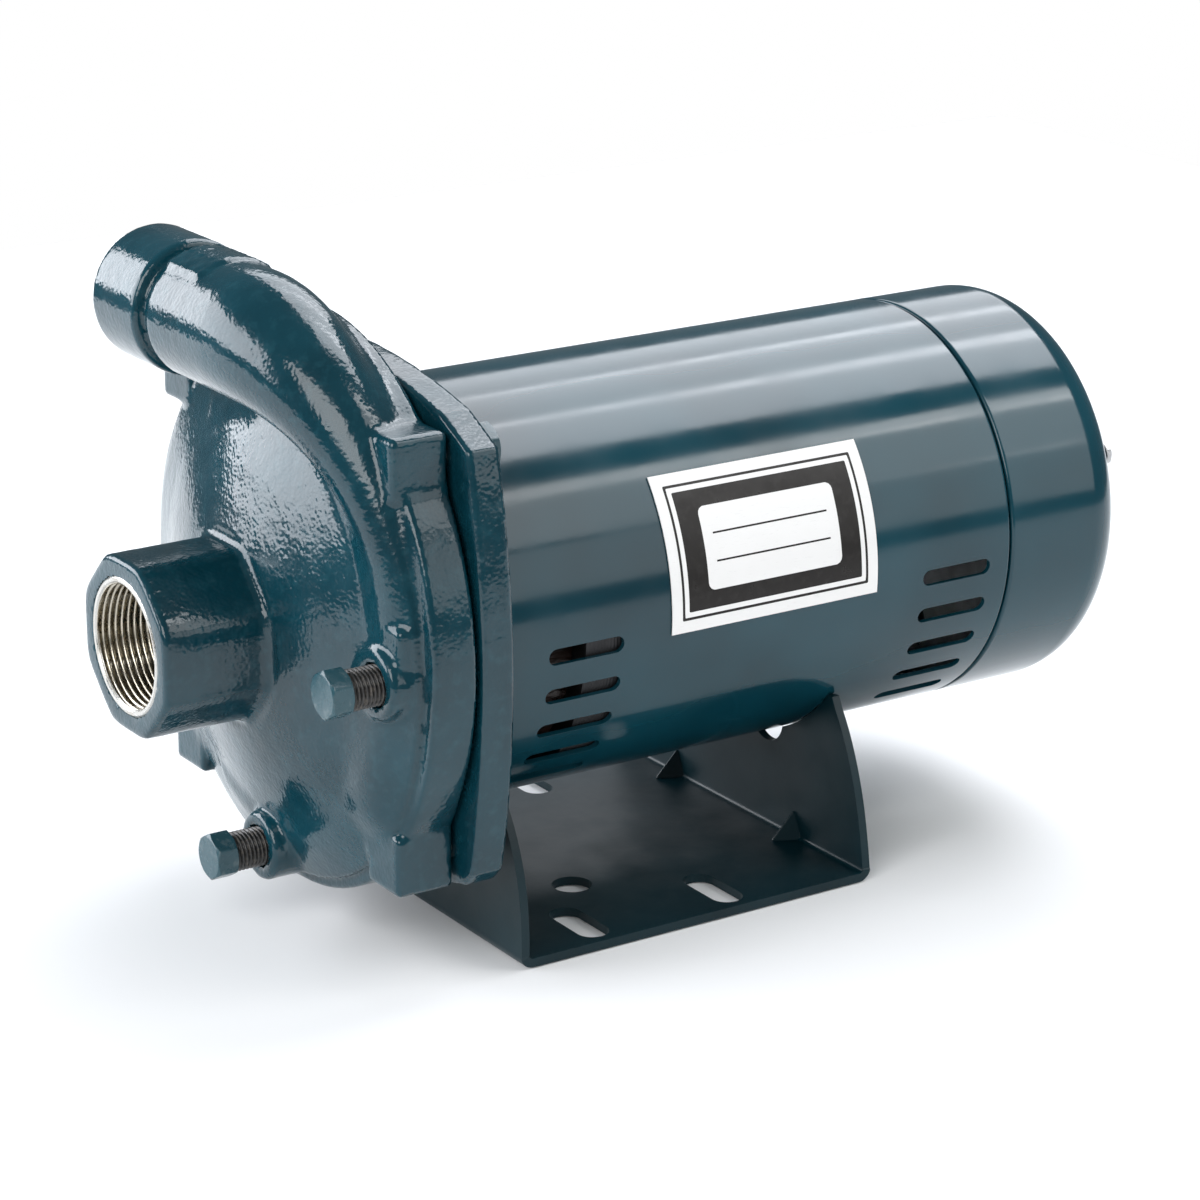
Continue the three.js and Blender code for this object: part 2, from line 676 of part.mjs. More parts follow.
// A thin data plate bent round the near side of the shell.
function namePlate() {
  const [inner, outer] = [SHELL_RADIUS + GAP, SHELL_RADIUS + 0.7];
  const [low, high] = [-4.5, 37.8].map((degrees) => Math.PI - THREE.MathUtils.degToRad(degrees));
  const outline = new THREE.Shape();
  outline.absarc(0, 0, outer, high, low);
  outline.absarc(0, 0, inner, low, high, true);
  return slab(outline, -8.7, 73.8, 14);
}

// Base -----------------------------------------------------------------------------------
const FLOOR = -SHAFT_HEIGHT;
const CRADLE_RADIUS = SHELL_RADIUS + GAP;

// An upright wall of the base: bowed edges below, and a cradle cut to the shell above.
function cradleWall(x0, shoulderY, shoulderZ, bulge) {
  const outline = new THREE.Shape();
  outline.moveTo(-BASE_HALF_WIDTH, FLOOR);
  outline.lineTo(BASE_HALF_WIDTH, FLOOR);
  outline.quadraticCurveTo(BASE_HALF_WIDTH + bulge, shoulderZ - 22, shoulderY, shoulderZ);
  outline.lineTo(-shoulderY, shoulderZ);
  outline.quadraticCurveTo(-BASE_HALF_WIDTH - bulge, shoulderZ - 22, -BASE_HALF_WIDTH, FLOOR);
  const reliefs = [-1, 1].map((side) =>
    sideRod(x0 - 1, x0 + SHEET + 1, 9.5, side * 19, -63.5, 16));
  const shell = rod(x0 - 1, x0 + SHEET + 1, CRADLE_RADIUS, FINE);
  return cut(slab(outline, x0, x0 + SHEET), shell, ...reliefs);
}

// A pressed dart that stiffens the fold between a wall and the bottom plate.
function foldDart(y, side) {
  const edge = side * (BASE_HALF_LENGTH - SHEET + 0.5);
  const outline = new THREE.Shape();
  outline.moveTo(edge, FLOOR + SHEET - 0.5);
  outline.lineTo(edge - side * 11, FLOOR + SHEET - 0.5);
  outline.lineTo(edge, FLOOR + SHEET + 11);
  const geometry = new THREE.ExtrudeGeometry(outline, { depth: 7, bevelEnabled: false });
  geometry.rotateX(Math.PI / 2);
  return solidOf(geometry.translate(0, y + 3.5, 0));
}

const BASE_SLOTS = [-37, 16.5];
const BASE_SLOT_MIDDLE = 59.5;

function bottomPlate() {
  const outline = new THREE.Shape();
  outline.moveTo(-BASE_HALF_LENGTH, -BASE_HALF_WIDTH);
  outline.lineTo(BASE_HALF_LENGTH, -BASE_HALF_WIDTH);
  outline.lineTo(BASE_HALF_LENGTH, BASE_HALF_WIDTH);
  outline.lineTo(-BASE_HALF_LENGTH, BASE_HALF_WIDTH);
  for (const side of [-1, 1]) {
    for (const x of BASE_SLOTS) outline.holes.push(slotHole(x, side * BASE_SLOT_MIDDLE, 5.6, 8));
    outline.holes.push(slotHole(-21.5, side * 31, 6.8, 0));
  }
  const geometry = new THREE.ExtrudeGeometry(outline, {
    depth: SHEET,
    bevelEnabled: false,
    curveSegments: 6,
  });
  return solidOf(geometry.translate(0, 0, FLOOR));
}

function slotHole(x, y, radius, straight) {
  const hole = new THREE.Path();
  hole.absarc(x, y + straight, radius, 0, Math.PI);
  hole.absarc(x, y - straight, radius, Math.PI, 2 * Math.PI);
  return hole;
}

function motorBase() {
  const front = cradleWall(-BASE_HALF_LENGTH, 61, -50, 3);
  const rear = cradleWall(BASE_HALF_LENGTH - SHEET, 56, -46, -4);
  const darts = [-1, 1].flatMap((side) => [-36, 36].map((y) => foldDart(y, side)));
  return join(bottomPlate(), front, rear, ...darts);
}

// Assembly -------------------------------------------------------------------------------
const pump = new THREE.Group();
pump.name = 'jet_pump';
const onShaft = new THREE.Group();
onShaft.position.z = SHAFT_HEIGHT;
pump.add(onShaft);

function place(name, solid, look, y = 0, z = 0) {
  const mesh = new THREE.Mesh(geometryOf(solid), look);
  mesh.name = name;
  mesh.position.set(0, y, z);
  onShaft.add(mesh);
}

place('volute_casing', voluteCasing(), castEnamel());
place('wear_ring', wearRing(), bronze());
place('casing_o_ring', casingORing(), black());
place('seal_plate', sealPlate(), castEnamel());
place('seal_seat', sealSeat(), material(0xe6e2d8, 0.3, 0));
place('seal_head', sealHead(), black());
place('seal_spring', sealSpring(), steel());
place('impeller', impeller(), bronze());
place('slinger', slinger(), black());
for (const [name, { y, z, bossFront }] of Object.entries(plugs)) {
  place(name, pipePlug(bossFront), enamel(), y, z);
}
CASING_BOLTS.forEach(([y, z], i) => {
  place(`casing_bolt_${i + 1}`, casingBolt(), enamel(), y, z);
});

place('end_bell_front', endBellFront(), castEnamel());
place('motor_shell', motorShell(), enamel());
place('stator_core', statorCore(), darkSteel());
place('stator_windings', statorWindings(), copper());
place('rotor_cage', rotorCage(), aluminium());
place('shaft', shaft(), steel());
place('cooling_fan', coolingFan(), aluminium());
for (const [name, bearing] of Object.entries({ front: BEARING_FRONT, rear: BEARING_REAR })) {
  place(`bearing_${name}_outer_race`, bearingOuter(bearing), steel());
  place(`bearing_${name}_inner_race`, bearingInner(bearing), steel());
  place(`bearing_${name}_balls`, bearingBalls(bearing), steel());
}
place('wave_washer', waveWasher(), steel());
place('end_bell_rear', endBellRear(), aluminium());
throughBoltAngles.forEach((angle, i) => {
  place(`through_bolt_${i + 1}`, throughBolt(), steel(), ...atAngle(THROUGH_BOLT_RADIUS, angle));
});
place('governor_plate', governorPlate(), steel());
place('governor_collar', governorCollar(), black());
place('switch_arm', switchArm(), bronze());
place('switch_board', switchBoard(), black());
place('start_capacitor', startCapacitor(), black());
place('capacitor_clip', capacitorClip(), steel());
place('rear_canopy', rearCanopy(), enamel());
canopyScrews.forEach(([y, z], i) => {
  place(`canopy_screw_${i + 1}`, canopyScrew(), steel(), y, z);
});
place('nameplate', namePlate(), material(0xe8e8e4, 0.4, 0.2));
place('motor_base', motorBase(), enamel());

export default pump;
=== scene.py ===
"""Looks for the jet pump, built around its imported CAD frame.

Shapes are worked out in millimetres from the shaft axis, with X along the shaft from the suction
port to the motor's back and Z up. They become metres in the row frame when a mesh is made.
"""

import json
import math

import bmesh
import bpy
import numpy as np
from mathutils import Matrix, Vector


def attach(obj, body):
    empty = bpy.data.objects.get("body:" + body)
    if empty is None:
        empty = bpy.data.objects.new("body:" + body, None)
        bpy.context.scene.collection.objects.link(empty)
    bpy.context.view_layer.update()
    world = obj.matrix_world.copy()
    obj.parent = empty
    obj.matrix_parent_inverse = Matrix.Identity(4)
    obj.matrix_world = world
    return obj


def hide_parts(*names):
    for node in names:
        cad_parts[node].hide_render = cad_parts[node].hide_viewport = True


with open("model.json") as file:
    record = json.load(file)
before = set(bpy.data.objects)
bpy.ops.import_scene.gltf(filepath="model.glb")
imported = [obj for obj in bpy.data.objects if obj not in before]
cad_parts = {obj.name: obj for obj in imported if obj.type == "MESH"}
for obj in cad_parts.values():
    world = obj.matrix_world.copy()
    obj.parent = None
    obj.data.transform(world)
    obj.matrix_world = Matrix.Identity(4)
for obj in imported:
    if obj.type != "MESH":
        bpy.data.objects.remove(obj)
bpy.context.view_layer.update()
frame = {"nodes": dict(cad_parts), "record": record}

# Driving dimensions, in millimetres ------------------------------------------------------
MM = 0.001
SHAFT_HEIGHT = 106.5

SHELL_RADIUS = 71
SHELL_WALL = 1.6
SHELL_FRONT = -80.7
SEAM = 131
CANOPY_BACK = 184
CANOPY_EDGE_RADIUS = 16
CANOPY_SCREWS = [(-52, 20), (52, 20)]
CONDUIT_X = 158

FLANGE_FRONT = -92.5
FLANGE_BACK = -81
FLANGE_CORNER = {"y": 84, "top": 77, "bottom": 71}
FLANGE_MIDDLE = {"y": 92, "top": 89, "bottom": 82}
CASING_BOLTS = [(-66, 67), (-66, -62), (66, 67), (66, -62)]

CASING_BACK = -94.5
CASING_FRONT = -131
RIM_FRONT = -110
RIM_RADIUS = 90.5
RIM_GROWTH = 10.5
CHAMBER_RADIUS = 66
PLATE_SEAT_RADIUS = 80

SUCTION_FACE = -169
SUCTION_FLATS = 57
SUCTION_BORE = 20.15
SUCTION_DEPTH = 26
INLET_RADIUS = 17.5
SUCTION_PITCH = 25.4 / 11.5

DISCHARGE_X = -120
DISCHARGE_HEIGHT = 94.8
DISCHARGE_END = 69.4
DISCHARGE_RADIUS = 22.5
DISCHARGE_BORE = 15.4
DISCHARGE_PITCH = 25.4 / 11.5
NECK_START = 33.5
NECK_END = 39
NECK_RADIUS = 18.6

PLUGS = {"vent_plug": (-74, 0, -118.5), "drain_plug": (0, -77.5, -121.5)}
PLUG_RADIUS = 6.6
BOSS_RADIUS = 11.5
BOSS_RISE = 2.5
VENT_BLOCK = [(-117.5, -84, 7), (-100, -75, 19)]
RIB = [(-105.5, -64, -4), (-105.5, -64, -43)]
RIB_RADIUS = 11
PLUG_PITCH = 25.4 / 18

BASE_HALF_LENGTH = 70
BASE_HALF_WIDTH = 76.5
SHEET = 3
FLOOR = -SHAFT_HEIGHT
BASE_SLOTS = {"x": (-37, 16.5), "y": 59.5, "radius": 5.6, "straight": 8}
BASE_HOLES = {"x": -21.5, "y": 31, "radius": 6.8, "straight": 0.01}
WALL_HOLES = {"y": 19, "z": -63.5, "radius": 9.5}


# Distance fields -------------------------------------------------------------------------
# A casting's shape is a function that gives each point its distance outside the surface.
# Blending two such distances gives the round fillets that a casting has.
def rounded(distances, edge):
    """Joins distances along independent directions into one, with its edges rounded."""
    shifted = np.stack(distances) + edge
    outside = np.sqrt((np.maximum(shifted, 0) ** 2).sum(0))
    return outside + np.minimum(shifted.max(0), 0) - edge


def merged(a, b, fillet):
    """The union of two shapes, with a fillet of about that size where they meet."""
    blend = np.maximum(fillet - np.abs(a - b), 0) / fillet
    return np.minimum(a, b) - blend * blend * fillet / 4


def carved(a, b, fillet):
    """Shape a with shape b taken out of it."""
    return -merged(-a, b, fillet)


def rod_along_x(p, x0, x1, radius, y=0, z=0, edge=0.5):
    across = np.hypot(p[:, 1] - y, p[:, 2] - z) - radius
    along = np.abs(p[:, 0] - (x0 + x1) / 2) - (x1 - x0) / 2
    return rounded([across, along], edge)


def rod_along_y(p, y0, y1, radius, x, z, edge=0.5):
    across = np.hypot(p[:, 0] - x, p[:, 2] - z) - radius
    along = np.abs(p[:, 1] - (y0 + y1) / 2) - (y1 - y0) / 2
    return rounded([across, along], edge)


def box(p, low, high, edge):
    middle = (np.array(low) + high) / 2
    half = (np.array(high) - low) / 2
    return rounded(list((np.abs(p - middle) - half).T), edge)


def outline_distance(u, v, corners):
    """Signed distance from the points (u, v) to a closed outline with straight sides."""
    corners = np.asarray(corners, float)
    nearest = np.full(u.shape, np.inf)
    inside = np.zeros(u.shape, bool)
    for a, b in zip(corners, np.roll(corners, -1, 0)):
        side = b - a
        t = ((u - a[0]) * side[0] + (v - a[1]) * side[1]) / (side @ side)
        t = np.clip(t, 0, 1)
        nearest = np.minimum(nearest, (u - a[0] - t * side[0]) ** 2 + (v - a[1] - t * side[1]) ** 2)
        if side[1]:
            crosses = (a[1] > v) != (b[1] > v)
            inside ^= crosses & (u < a[0] + (v - a[1]) / side[1] * side[0])
    return np.where(inside, -1, 1) * np.sqrt(nearest)


def revolved(p, profile):
    """A profile of [x, radius] points turned about the shaft axis."""
    return outline_distance(p[:, 0], np.hypot(p[:, 1], p[:, 2]), profile)


def capsule(p, a, b, radius):
    """A round-ended rod between two points."""
    side = np.subtract(b, a)
    t = np.clip((p - a) @ side / (side @ side), 0, 1)
    return np.linalg.norm(p - a - t[:, None] * side, axis=1) - radius


def ripple(p, wavelength):
    """A soft unevenness between -1 and 1, as sand leaves on a casting."""
    q = p * (2 * math.pi / wavelength)
    x, y, z = q.T
    first = np.sin(x + 1.7 * np.sin(0.7 * y + 0.4 * z)) * np.sin(z + 1.3 * np.sin(0.8 * x))
    second = np.sin(1.3 * y + 1.9 * np.sin(0.6 * z)) * np.sin(0.9 * z - 1.1 * x + 2)
    return (first + second) / 2


def onto_surface(field, points, rounds):
    """Moves points along the field's slope until they lie on its surface."""
    step = 0.02
    for _ in range(rounds):
        value = field(points)
        slope = np.stack([
            field(points + axis * step) - field(points - axis * step) for axis in np.eye(3)
        ], 1) / (2 * step)
        steepness = np.maximum((slope ** 2).sum(1), 0.2)
        move = slope * (value / steepness)[:, None]
        points = points - np.clip(move, -0.8, 0.8)
    return points


def skin(field, low, high, step):
    """Points and four-sided faces of a closed mesh on the field's surface."""
    axes = [np.arange(a, b + step, step) for a, b in zip(low, high)]
    value = np.stack([
        field(np.stack(np.meshgrid([x], axes[1], axes[2], indexing="ij"), -1).reshape(-1, 3))
        for x in axes[0]
    ]).reshape([len(a) for a in axes])
    inside = value < 0
    corners = [
        inside[i:len(axes[0]) - 1 + i, j:len(axes[1]) - 1 + j, k:len(axes[2]) - 1 + k]
        for i in (0, 1) for j in (0, 1) for k in (0, 1)
    ]
    crossed = np.any(corners, axis=0) & ~np.all(corners, axis=0)
    number = np.full(crossed.shape, -1)
    number[crossed] = np.arange(crossed.sum())
    points = np.argwhere(crossed) * step + [a[0] + step / 2 for a in axes]
    faces = []
    for axis in range(3):
        u, v = (axis + 1) % 3, (axis + 2) % 3
        start = np.take(inside, range(inside.shape[axis] - 1), axis)
        end = np.take(inside, range(1, inside.shape[axis]), axis)
        edges = np.argwhere(start != end)
        around = []
        for back_u, back_v in ((0, 0), (1, 0), (1, 1), (0, 1)):
            cell = edges.copy()
            cell[:, u] -= back_u
            cell[:, v] -= back_v
            around.append(number[tuple(cell.T)])
        quads = np.stack(around, 1)
        faces_back = ~start[tuple(edges.T)]
        quads[faces_back] = quads[faces_back][:, ::-1]
        faces.append(quads)
    faces = np.concatenate(faces)
    points = onto_surface(field, points, 3)
    for _ in range(2):
        points = onto_surface(field, evened(points, faces), 2)
    return points, faces


def evened(points, faces):
    """Each point moved half way to the middle of its neighbours."""
    total = np.zeros_like(points)
    count = np.zeros(len(points))
    for side in range(4):
        for other in (faces[:, (side + 1) % 4], faces[:, side - 1]):
            np.add.at(total, faces[:, side], points[other])
            np.add.at(count, faces[:, side], 1)
    return (points + total / count[:, None]) / 2


# Meshes ----------------------------------------------------------------------------------
def new_object(name, points, faces, finish, smooth_angle=40):
    """An object from points in millimetres from the shaft axis."""
    mesh = bpy.data.meshes.new(name)
    placed = (np.asarray(points, float) + [0, 0, SHAFT_HEIGHT]) * MM
    mesh.from_pydata(placed.tolist(), [], [list(map(int, face)) for face in faces])
    mesh.validate()
    mesh.update()
    made = bpy.data.objects.new(name, mesh)
    bpy.context.scene.collection.objects.link(made)
    if finish:
        mesh.materials.append(finish)
    shade(made, smooth_angle)
    return made


def shade(made, smooth_angle):
    """Smooth shading that stays crisp over edges sharper than the angle."""
    made.data.shade_smooth()
    made.data.set_sharp_from_angle(angle=math.radians(smooth_angle))


def applied(made):
    """Turns the object's modifiers into plain mesh."""
    depsgraph = bpy.context.evaluated_depsgraph_get()
    mesh = bpy.data.meshes.new_from_object(made.evaluated_get(depsgraph))
    made.modifiers.clear()
    made.data = mesh
    return made


def combine(made, others, operation):
    """Joins the other objects to a solid one, or cuts them out of it."""
    for other in others:
        modifier = made.modifiers.new(operation.lower(), "BOOLEAN")
        modifier.operation = operation
        modifier.solver = "EXACT"
        modifier.object = other
    applied(made)
    for other in others:
        bpy.data.objects.remove(other)
    return made


def bevelled(made, width, segments=2, angle=35):
    """Rounds the sharp edges, and keeps the flat faces between them shaded flat."""
    modifier = made.modifiers.new("bevel", "BEVEL")
    modifier.width = width * MM
    modifier.segments = segments
    modifier.limit_method = "ANGLE"
    modifier.angle_limit = math.radians(angle)
    modifier.use_clamp_overlap = True
    applied(made)
    shade(made, 50)
    weights = made.modifiers.new("normals", "WEIGHTED_NORMAL")
    weights.keep_sharp = True
    return applied(made)


def fixed(made, node, body="frame"):
    """Lets a piece stand for a CAD node and ride on its body."""
    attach(made, body)
    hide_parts(node)
    return made


def extra(made, body="frame"):
    """A detail that belongs to a piece which already stands for its node."""
    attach(made, body)
    return made


def ring_faces(rings, around, closed):
    """Faces between rings of points, each ring having that many points."""
    faces = []
    for i in range(rings if closed else rings - 1):
        after = (i + 1) % rings
        for k in range(around):
            side = (k + 1) % around
            faces.append((i * around + k, i * around + side, after * around + side, after * around + k))
    return faces


def turned(name, profile, finish, segments=96, y=0, z=0, smooth_angle=40):
    """A profile of (x, radius) turned about the X axis. Ends on the axis become caps."""
    angles = np.arange(segments) * 2 * math.pi / segments
    on_axis = profile[0][1] == 0
    rings = [point for point in profile if point[1] > 0]
    points = [
        (x, y + radius * math.cos(a), z + radius * math.sin(a))
        for x, radius in rings for a in angles
    ]
    faces = ring_faces(len(rings), segments, closed=not on_axis)
    if on_axis:
        faces.append(tuple(range(segments))[::-1])
        faces.append(tuple(range((len(rings) - 1) * segments, len(rings) * segments)))
    made = new_object(name, points, faces, finish, smooth_angle)
    outwards(made, smooth_angle)
    return made


def outwards(made, smooth_angle=40):
    """Turns all faces of a closed mesh to point out."""
    work = bmesh.new()
    work.from_mesh(made.data)
    bmesh.ops.recalc_face_normals(work, faces=work.faces)
    work.to_mesh(made.data)
    work.free()
    shade(made, smooth_angle)


def prism(name, points):
    """A closed solid between two outlines with as many points each, one after the other."""
    count = len(points) // 2
    faces = [tuple(range(count))[::-1], tuple(range(count, 2 * count))]
    made = new_object(name, points, faces + ring_faces(2, count, closed=False), None)
    outwards(made)
    return made


def swing(made):
    """Turns a piece made along X to lie along Y instead."""
    store(made.data, coordinates(made.data)[:, [1, 0, 2]])
    outwards(made)
    return made


def coordinates(mesh):
    """The mesh's points in millimetres from the shaft axis."""
    flat = np.zeros(len(mesh.vertices) * 3)
    mesh.vertices.foreach_get("co", flat)
    return flat.reshape(-1, 3) / MM - [0, 0, SHAFT_HEIGHT]


def store(mesh, points):
    placed = (points + [0, 0, SHAFT_HEIGHT]) * MM
    mesh.vertices.foreach_set("co", placed.ravel())
    mesh.update()


def moved(made, x, y, z):
    store(made.data, coordinates(made.data) + [x, y, z])
    return made


def arc(centre, radius, start, end, count):
    """Points on an arc, with its angles in degrees."""
    return [
        (centre[0] + radius * math.cos(a), centre[1] + radius * math.sin(a))
        for a in np.radians(np.linspace(start, end, count + 1))
    ]


def helix(name, x0, x1, plain, crest, pitch, depth, finish, taper=0.0):
    """A threaded sleeve: a helical groove on one side of a wall, and plain on the other.

    The crest radius is at x0 and falls by taper along the length. The groove goes towards
    the plain side.
    """
    around, per_turn = 64, 6
    rings = round((x1 - x0) / pitch * per_turn)
    wave = [0, 0.05, 0.7, 1, 0.7, 0.05]
    towards = 1 if plain > crest else -1
    points = []
    for i in range(rings + 1):
        x = x0 + (x1 - x0) * i / rings
        for k in range(around):
            angle = k * 2 * math.pi / around
            phase = (i - k * per_turn / around) % per_turn
            first = int(phase)
            share = phase - first
            groove = wave[first] * (1 - share) + wave[(first + 1) % per_turn] * share
            radius = crest - taper * i / rings + towards * depth * groove
            points.append((x, radius * math.cos(angle), radius * math.sin(angle)))
    for x in (x1, x0):
        for k in range(around):
            angle = k * 2 * math.pi / around
            points.append((x, plain * math.cos(angle), plain * math.sin(angle)))
    made = new_object(name, points, ring_faces(rings + 3, around, closed=True), finish, 60)
    outwards(made, 60)
    return made


# Materials -------------------------------------------------------------------------------
class Look:
    """A node material that is built up step by step."""

    def __init__(self, name, colour, roughness, metallic=0.0):
        self.material = bpy.data.materials.new(name)
        self.material.use_nodes = True
        self.tree = self.material.node_tree
        self.shader = self.tree.nodes["Principled BSDF"]
        self.shader.inputs["Base Color"].default_value = (*colour, 1)
        self.shader.inputs["Roughness"].default_value = roughness
        self.shader.inputs["Metallic"].default_value = metallic
        self.place = self.tree.nodes.new("ShaderNodeTexCoord").outputs["Object"]
        self.height = None

    def node(self, kind, **values):
        made = self.tree.nodes.new(kind)
        for key, value in values.items():
            setattr(made, key, value)
        return made

    def join(self, output, target):
        self.tree.links.new(output, target)

    def noise(self, size, detail=3, distortion=0.0, stretch=None):
        """Noise whose features are about that many millimetres across."""
        made = self.node("ShaderNodeTexNoise")
        made.inputs["Scale"].default_value = 1 / (size * MM)
        made.inputs["Detail"].default_value = detail
        made.inputs["Distortion"].default_value = distortion
        self.join(self.stretched(stretch), made.inputs["Vector"])
        return made.outputs["Fac"]

    def stretched(self, stretch):
        if not stretch:
            return self.place
        mapping = self.node("ShaderNodeMapping")
        mapping.inputs["Scale"].default_value = stretch
        self.join(self.place, mapping.inputs["Vector"])
        return mapping.outputs["Vector"]

    def ramp(self, value, low, high, start=0.0, end=1.0):
        """Maps low..high of a value onto start..end, and holds it there outside."""
        made = self.node("ShaderNodeMapRange")
        made.inputs["From Min"].default_value = low
        made.inputs["From Max"].default_value = high
        made.inputs["To Min"].default_value = start
        made.inputs["To Max"].default_value = end
        self.join(value, made.inputs["Value"])
        return made.outputs["Result"]

    def tint(self, share, colour):
        """Mixes another colour over what the base colour has so far."""
        mix = self.node("ShaderNodeMix", data_type="RGBA")
        target = self.shader.inputs["Base Color"]
        if target.is_linked:
            self.join(target.links[0].from_socket, mix.inputs["A"])
        else:
            mix.inputs["A"].default_value = target.default_value
        mix.inputs["B"].default_value = (*colour, 1)
        self.join(share, mix.inputs["Factor"])
        self.join(mix.outputs["Result"], target)
        return self

    def rough(self, value, low, high, start, end):
        self.join(self.ramp(value, low, high, start, end), self.shader.inputs["Roughness"])
        return self

    def bump(self, value, depth):
        """Adds a relief of that depth in millimetres."""
        made = self.node("ShaderNodeBump")
        made.inputs["Strength"].default_value = 1
        made.inputs["Distance"].default_value = depth * MM
        self.join(value, made.inputs["Height"])
        if self.height:
            self.join(self.height, made.inputs["Normal"])
        self.height = made.outputs["Normal"]
        self.join(self.height, self.shader.inputs["Normal"])
        return self


TEAL = (0.004, 0.040, 0.057)
DEEP_TEAL = (0.002, 0.028, 0.041)
PALE_TEAL = (0.012, 0.062, 0.082)


def cast_enamel():
    """Thick glossy enamel over sand-cast iron: a fine pebble, with pools and thin spots."""
    look = Look("cast_enamel", TEAL, 0.13)
    look.tint(look.ramp(look.noise(30, 3), 0.35, 0.65), DEEP_TEAL)
    look.tint(look.ramp(look.noise(4, 4), 0.52, 0.75, 0, 0.5), PALE_TEAL)
    look.rough(look.noise(9, 4), 0.3, 0.7, 0.10, 0.18)
    look.bump(look.noise(12, 1), 0.10)
    look.bump(look.noise(2.4, 1), 0.085)
    look.bump(look.noise(1.2, 0), 0.045)
    return look.material


def shell_enamel():
    """Smooth gloss enamel on rolled steel, with a faint orange peel."""
    look = Look("shell_enamel", (0.004, 0.047, 0.067), 0.12)
    look.tint(look.ramp(look.noise(60, 2), 0.35, 0.7), DEEP_TEAL)
    look.rough(look.noise(22, 4), 0.3, 0.7, 0.10, 0.18)
    look.bump(look.noise(3.4, 2), 0.012)
    look.bump(look.noise(48, 1), 0.08)
    return look.material


def base_enamel_with_painted_shade():
    """Thinner, duller enamel on the folded base. Its dark colour is partly painted shade: it is set
    darker to stand in for the dim inside of the base under the motor.
    """
    # Base colour darkened as painted shade for the inside of the base, which lies in the motor's
    # shadow.
    look = Look("base_enamel_with_painted_shade", (0.002, 0.019, 0.026), 0.34)
    look.shader.inputs["Specular IOR Level"].default_value = 0.3
    look.tint(look.ramp(look.noise(40, 3), 0.4, 0.7), (0.001, 0.013, 0.018))
    look.rough(look.noise(16, 4), 0.3, 0.7, 0.28, 0.44)
    look.bump(look.noise(2.6, 3), 0.02)
    return look.material


def bolt_enamel():
    """Enamel brushed over fasteners, rubbed thin in scattered pale patches."""
    look = Look("bolt_enamel", (0.020, 0.066, 0.084), 0.2)
    look.tint(look.ramp(look.noise(3, 4), 0.56, 0.72, 0, 0.6), (0.13, 0.17, 0.18))
    look.rough(look.noise(4, 3), 0.3, 0.7, 0.14, 0.34)
    look.bump(look.noise(1.6, 3), 0.05)
    return look.material


def machined_steel():
    """Bare cut steel with fine turning lines and a little oil staining."""
    look = Look("machined_steel", (0.56, 0.55, 0.52), 0.26, metallic=1)
    look.tint(look.ramp(look.noise(7, 4), 0.5, 0.75, 0, 0.55), (0.30, 0.25, 0.19))
    look.rough(look.noise(1.2, 3, stretch=(6, 1, 1)), 0.3, 0.7, 0.2, 0.4)
    look.bump(look.noise(0.8, 2, stretch=(8, 1, 1)), 0.012)
    return look.material


def thread_steel():
    """Freshly cut thread in cast iron: bright crests over darker flanks."""
    look = Look("thread_steel", (0.50, 0.46, 0.38), 0.28, metallic=1)
    look.tint(look.ramp(look.noise(7, 3), 0.5, 0.75, 0, 0.35), (0.27, 0.22, 0.15))
    look.rough(look.noise(3, 3), 0.3, 0.7, 0.2, 0.34)
    look.bump(look.noise(1.2, 2), 0.008)
    return look.material


def dark_thread():
    """Plug thread wetted with black sealing compound."""
    look = Look("dark_thread", (0.035, 0.034, 0.033), 0.35, metallic=0.3)
    look.tint(look.ramp(look.noise(1.5, 4), 0.5, 0.7, 0, 0.7), (0.14, 0.12, 0.10))
    look.rough(look.noise(1.5, 3), 0.3, 0.7, 0.25, 0.55)
    look.bump(look.noise(0.9, 3), 0.06)
    return look.material


def label_white():
    """Printed white plate with a faint brushed sheen under its varnish."""
    look = Look("label_white", (0.84, 0.83, 0.82), 0.36)
    look.tint(look.ramp(look.noise(14, 3), 0.45, 0.8, 0, 0.25), (0.78, 0.77, 0.76))
    look.rough(look.noise(3, 3, stretch=(1, 8, 8)), 0.3, 0.7, 0.26, 0.40)
    look.bump(look.noise(1.5, 2), 0.008)
    return look.material


def label_black():
    """Printed black of the plate's border."""
    look = Look("label_black", (0.010, 0.008, 0.007), 0.40)
    look.shader.inputs["Specular IOR Level"].default_value = 0.3
    look.tint(look.ramp(look.noise(3, 3), 0.5, 0.8, 0, 0.4), (0.035, 0.032, 0.030))
    look.rough(look.noise(5, 3), 0.3, 0.7, 0.26, 0.42)
    look.bump(look.noise(1.5, 2), 0.006)
    return look.material


def plain_metal(name, colour, roughness):
    """Metal of the inner parts, with soft stains and a fine grain."""
    look = Look(name, colour, roughness, metallic=1)
    shadow = tuple(0.55 * c for c in colour)
    look.tint(look.ramp(look.noise(9, 4), 0.45, 0.75, 0, 0.6), shadow)
    look.rough(look.noise(4, 4), 0.3, 0.7, roughness - 0.08, roughness + 0.14)
    look.bump(look.noise(1.1, 3), 0.03)
    return look.material


def laminations():
    """A stack of thin electrical steel sheets, seen edge on."""
    look = Look("lamination", (0.030, 0.030, 0.032), 0.55, metallic=0.7)
    stripes = look.node("ShaderNodeTexWave", bands_direction="X")
    stripes.inputs["Scale"].default_value = 1 / (4 * MM)
    stripes.inputs["Distortion"].default_value = 0.3
    look.join(look.place, stripes.inputs["Vector"])
    look.tint(look.ramp(look.noise(8, 4), 0.45, 0.75, 0, 0.5), (0.022, 0.016, 0.012))
    look.rough(look.noise(5, 3), 0.3, 0.7, 0.4, 0.62)
    look.bump(stripes.outputs["Fac"], 0.08)
    return look.material


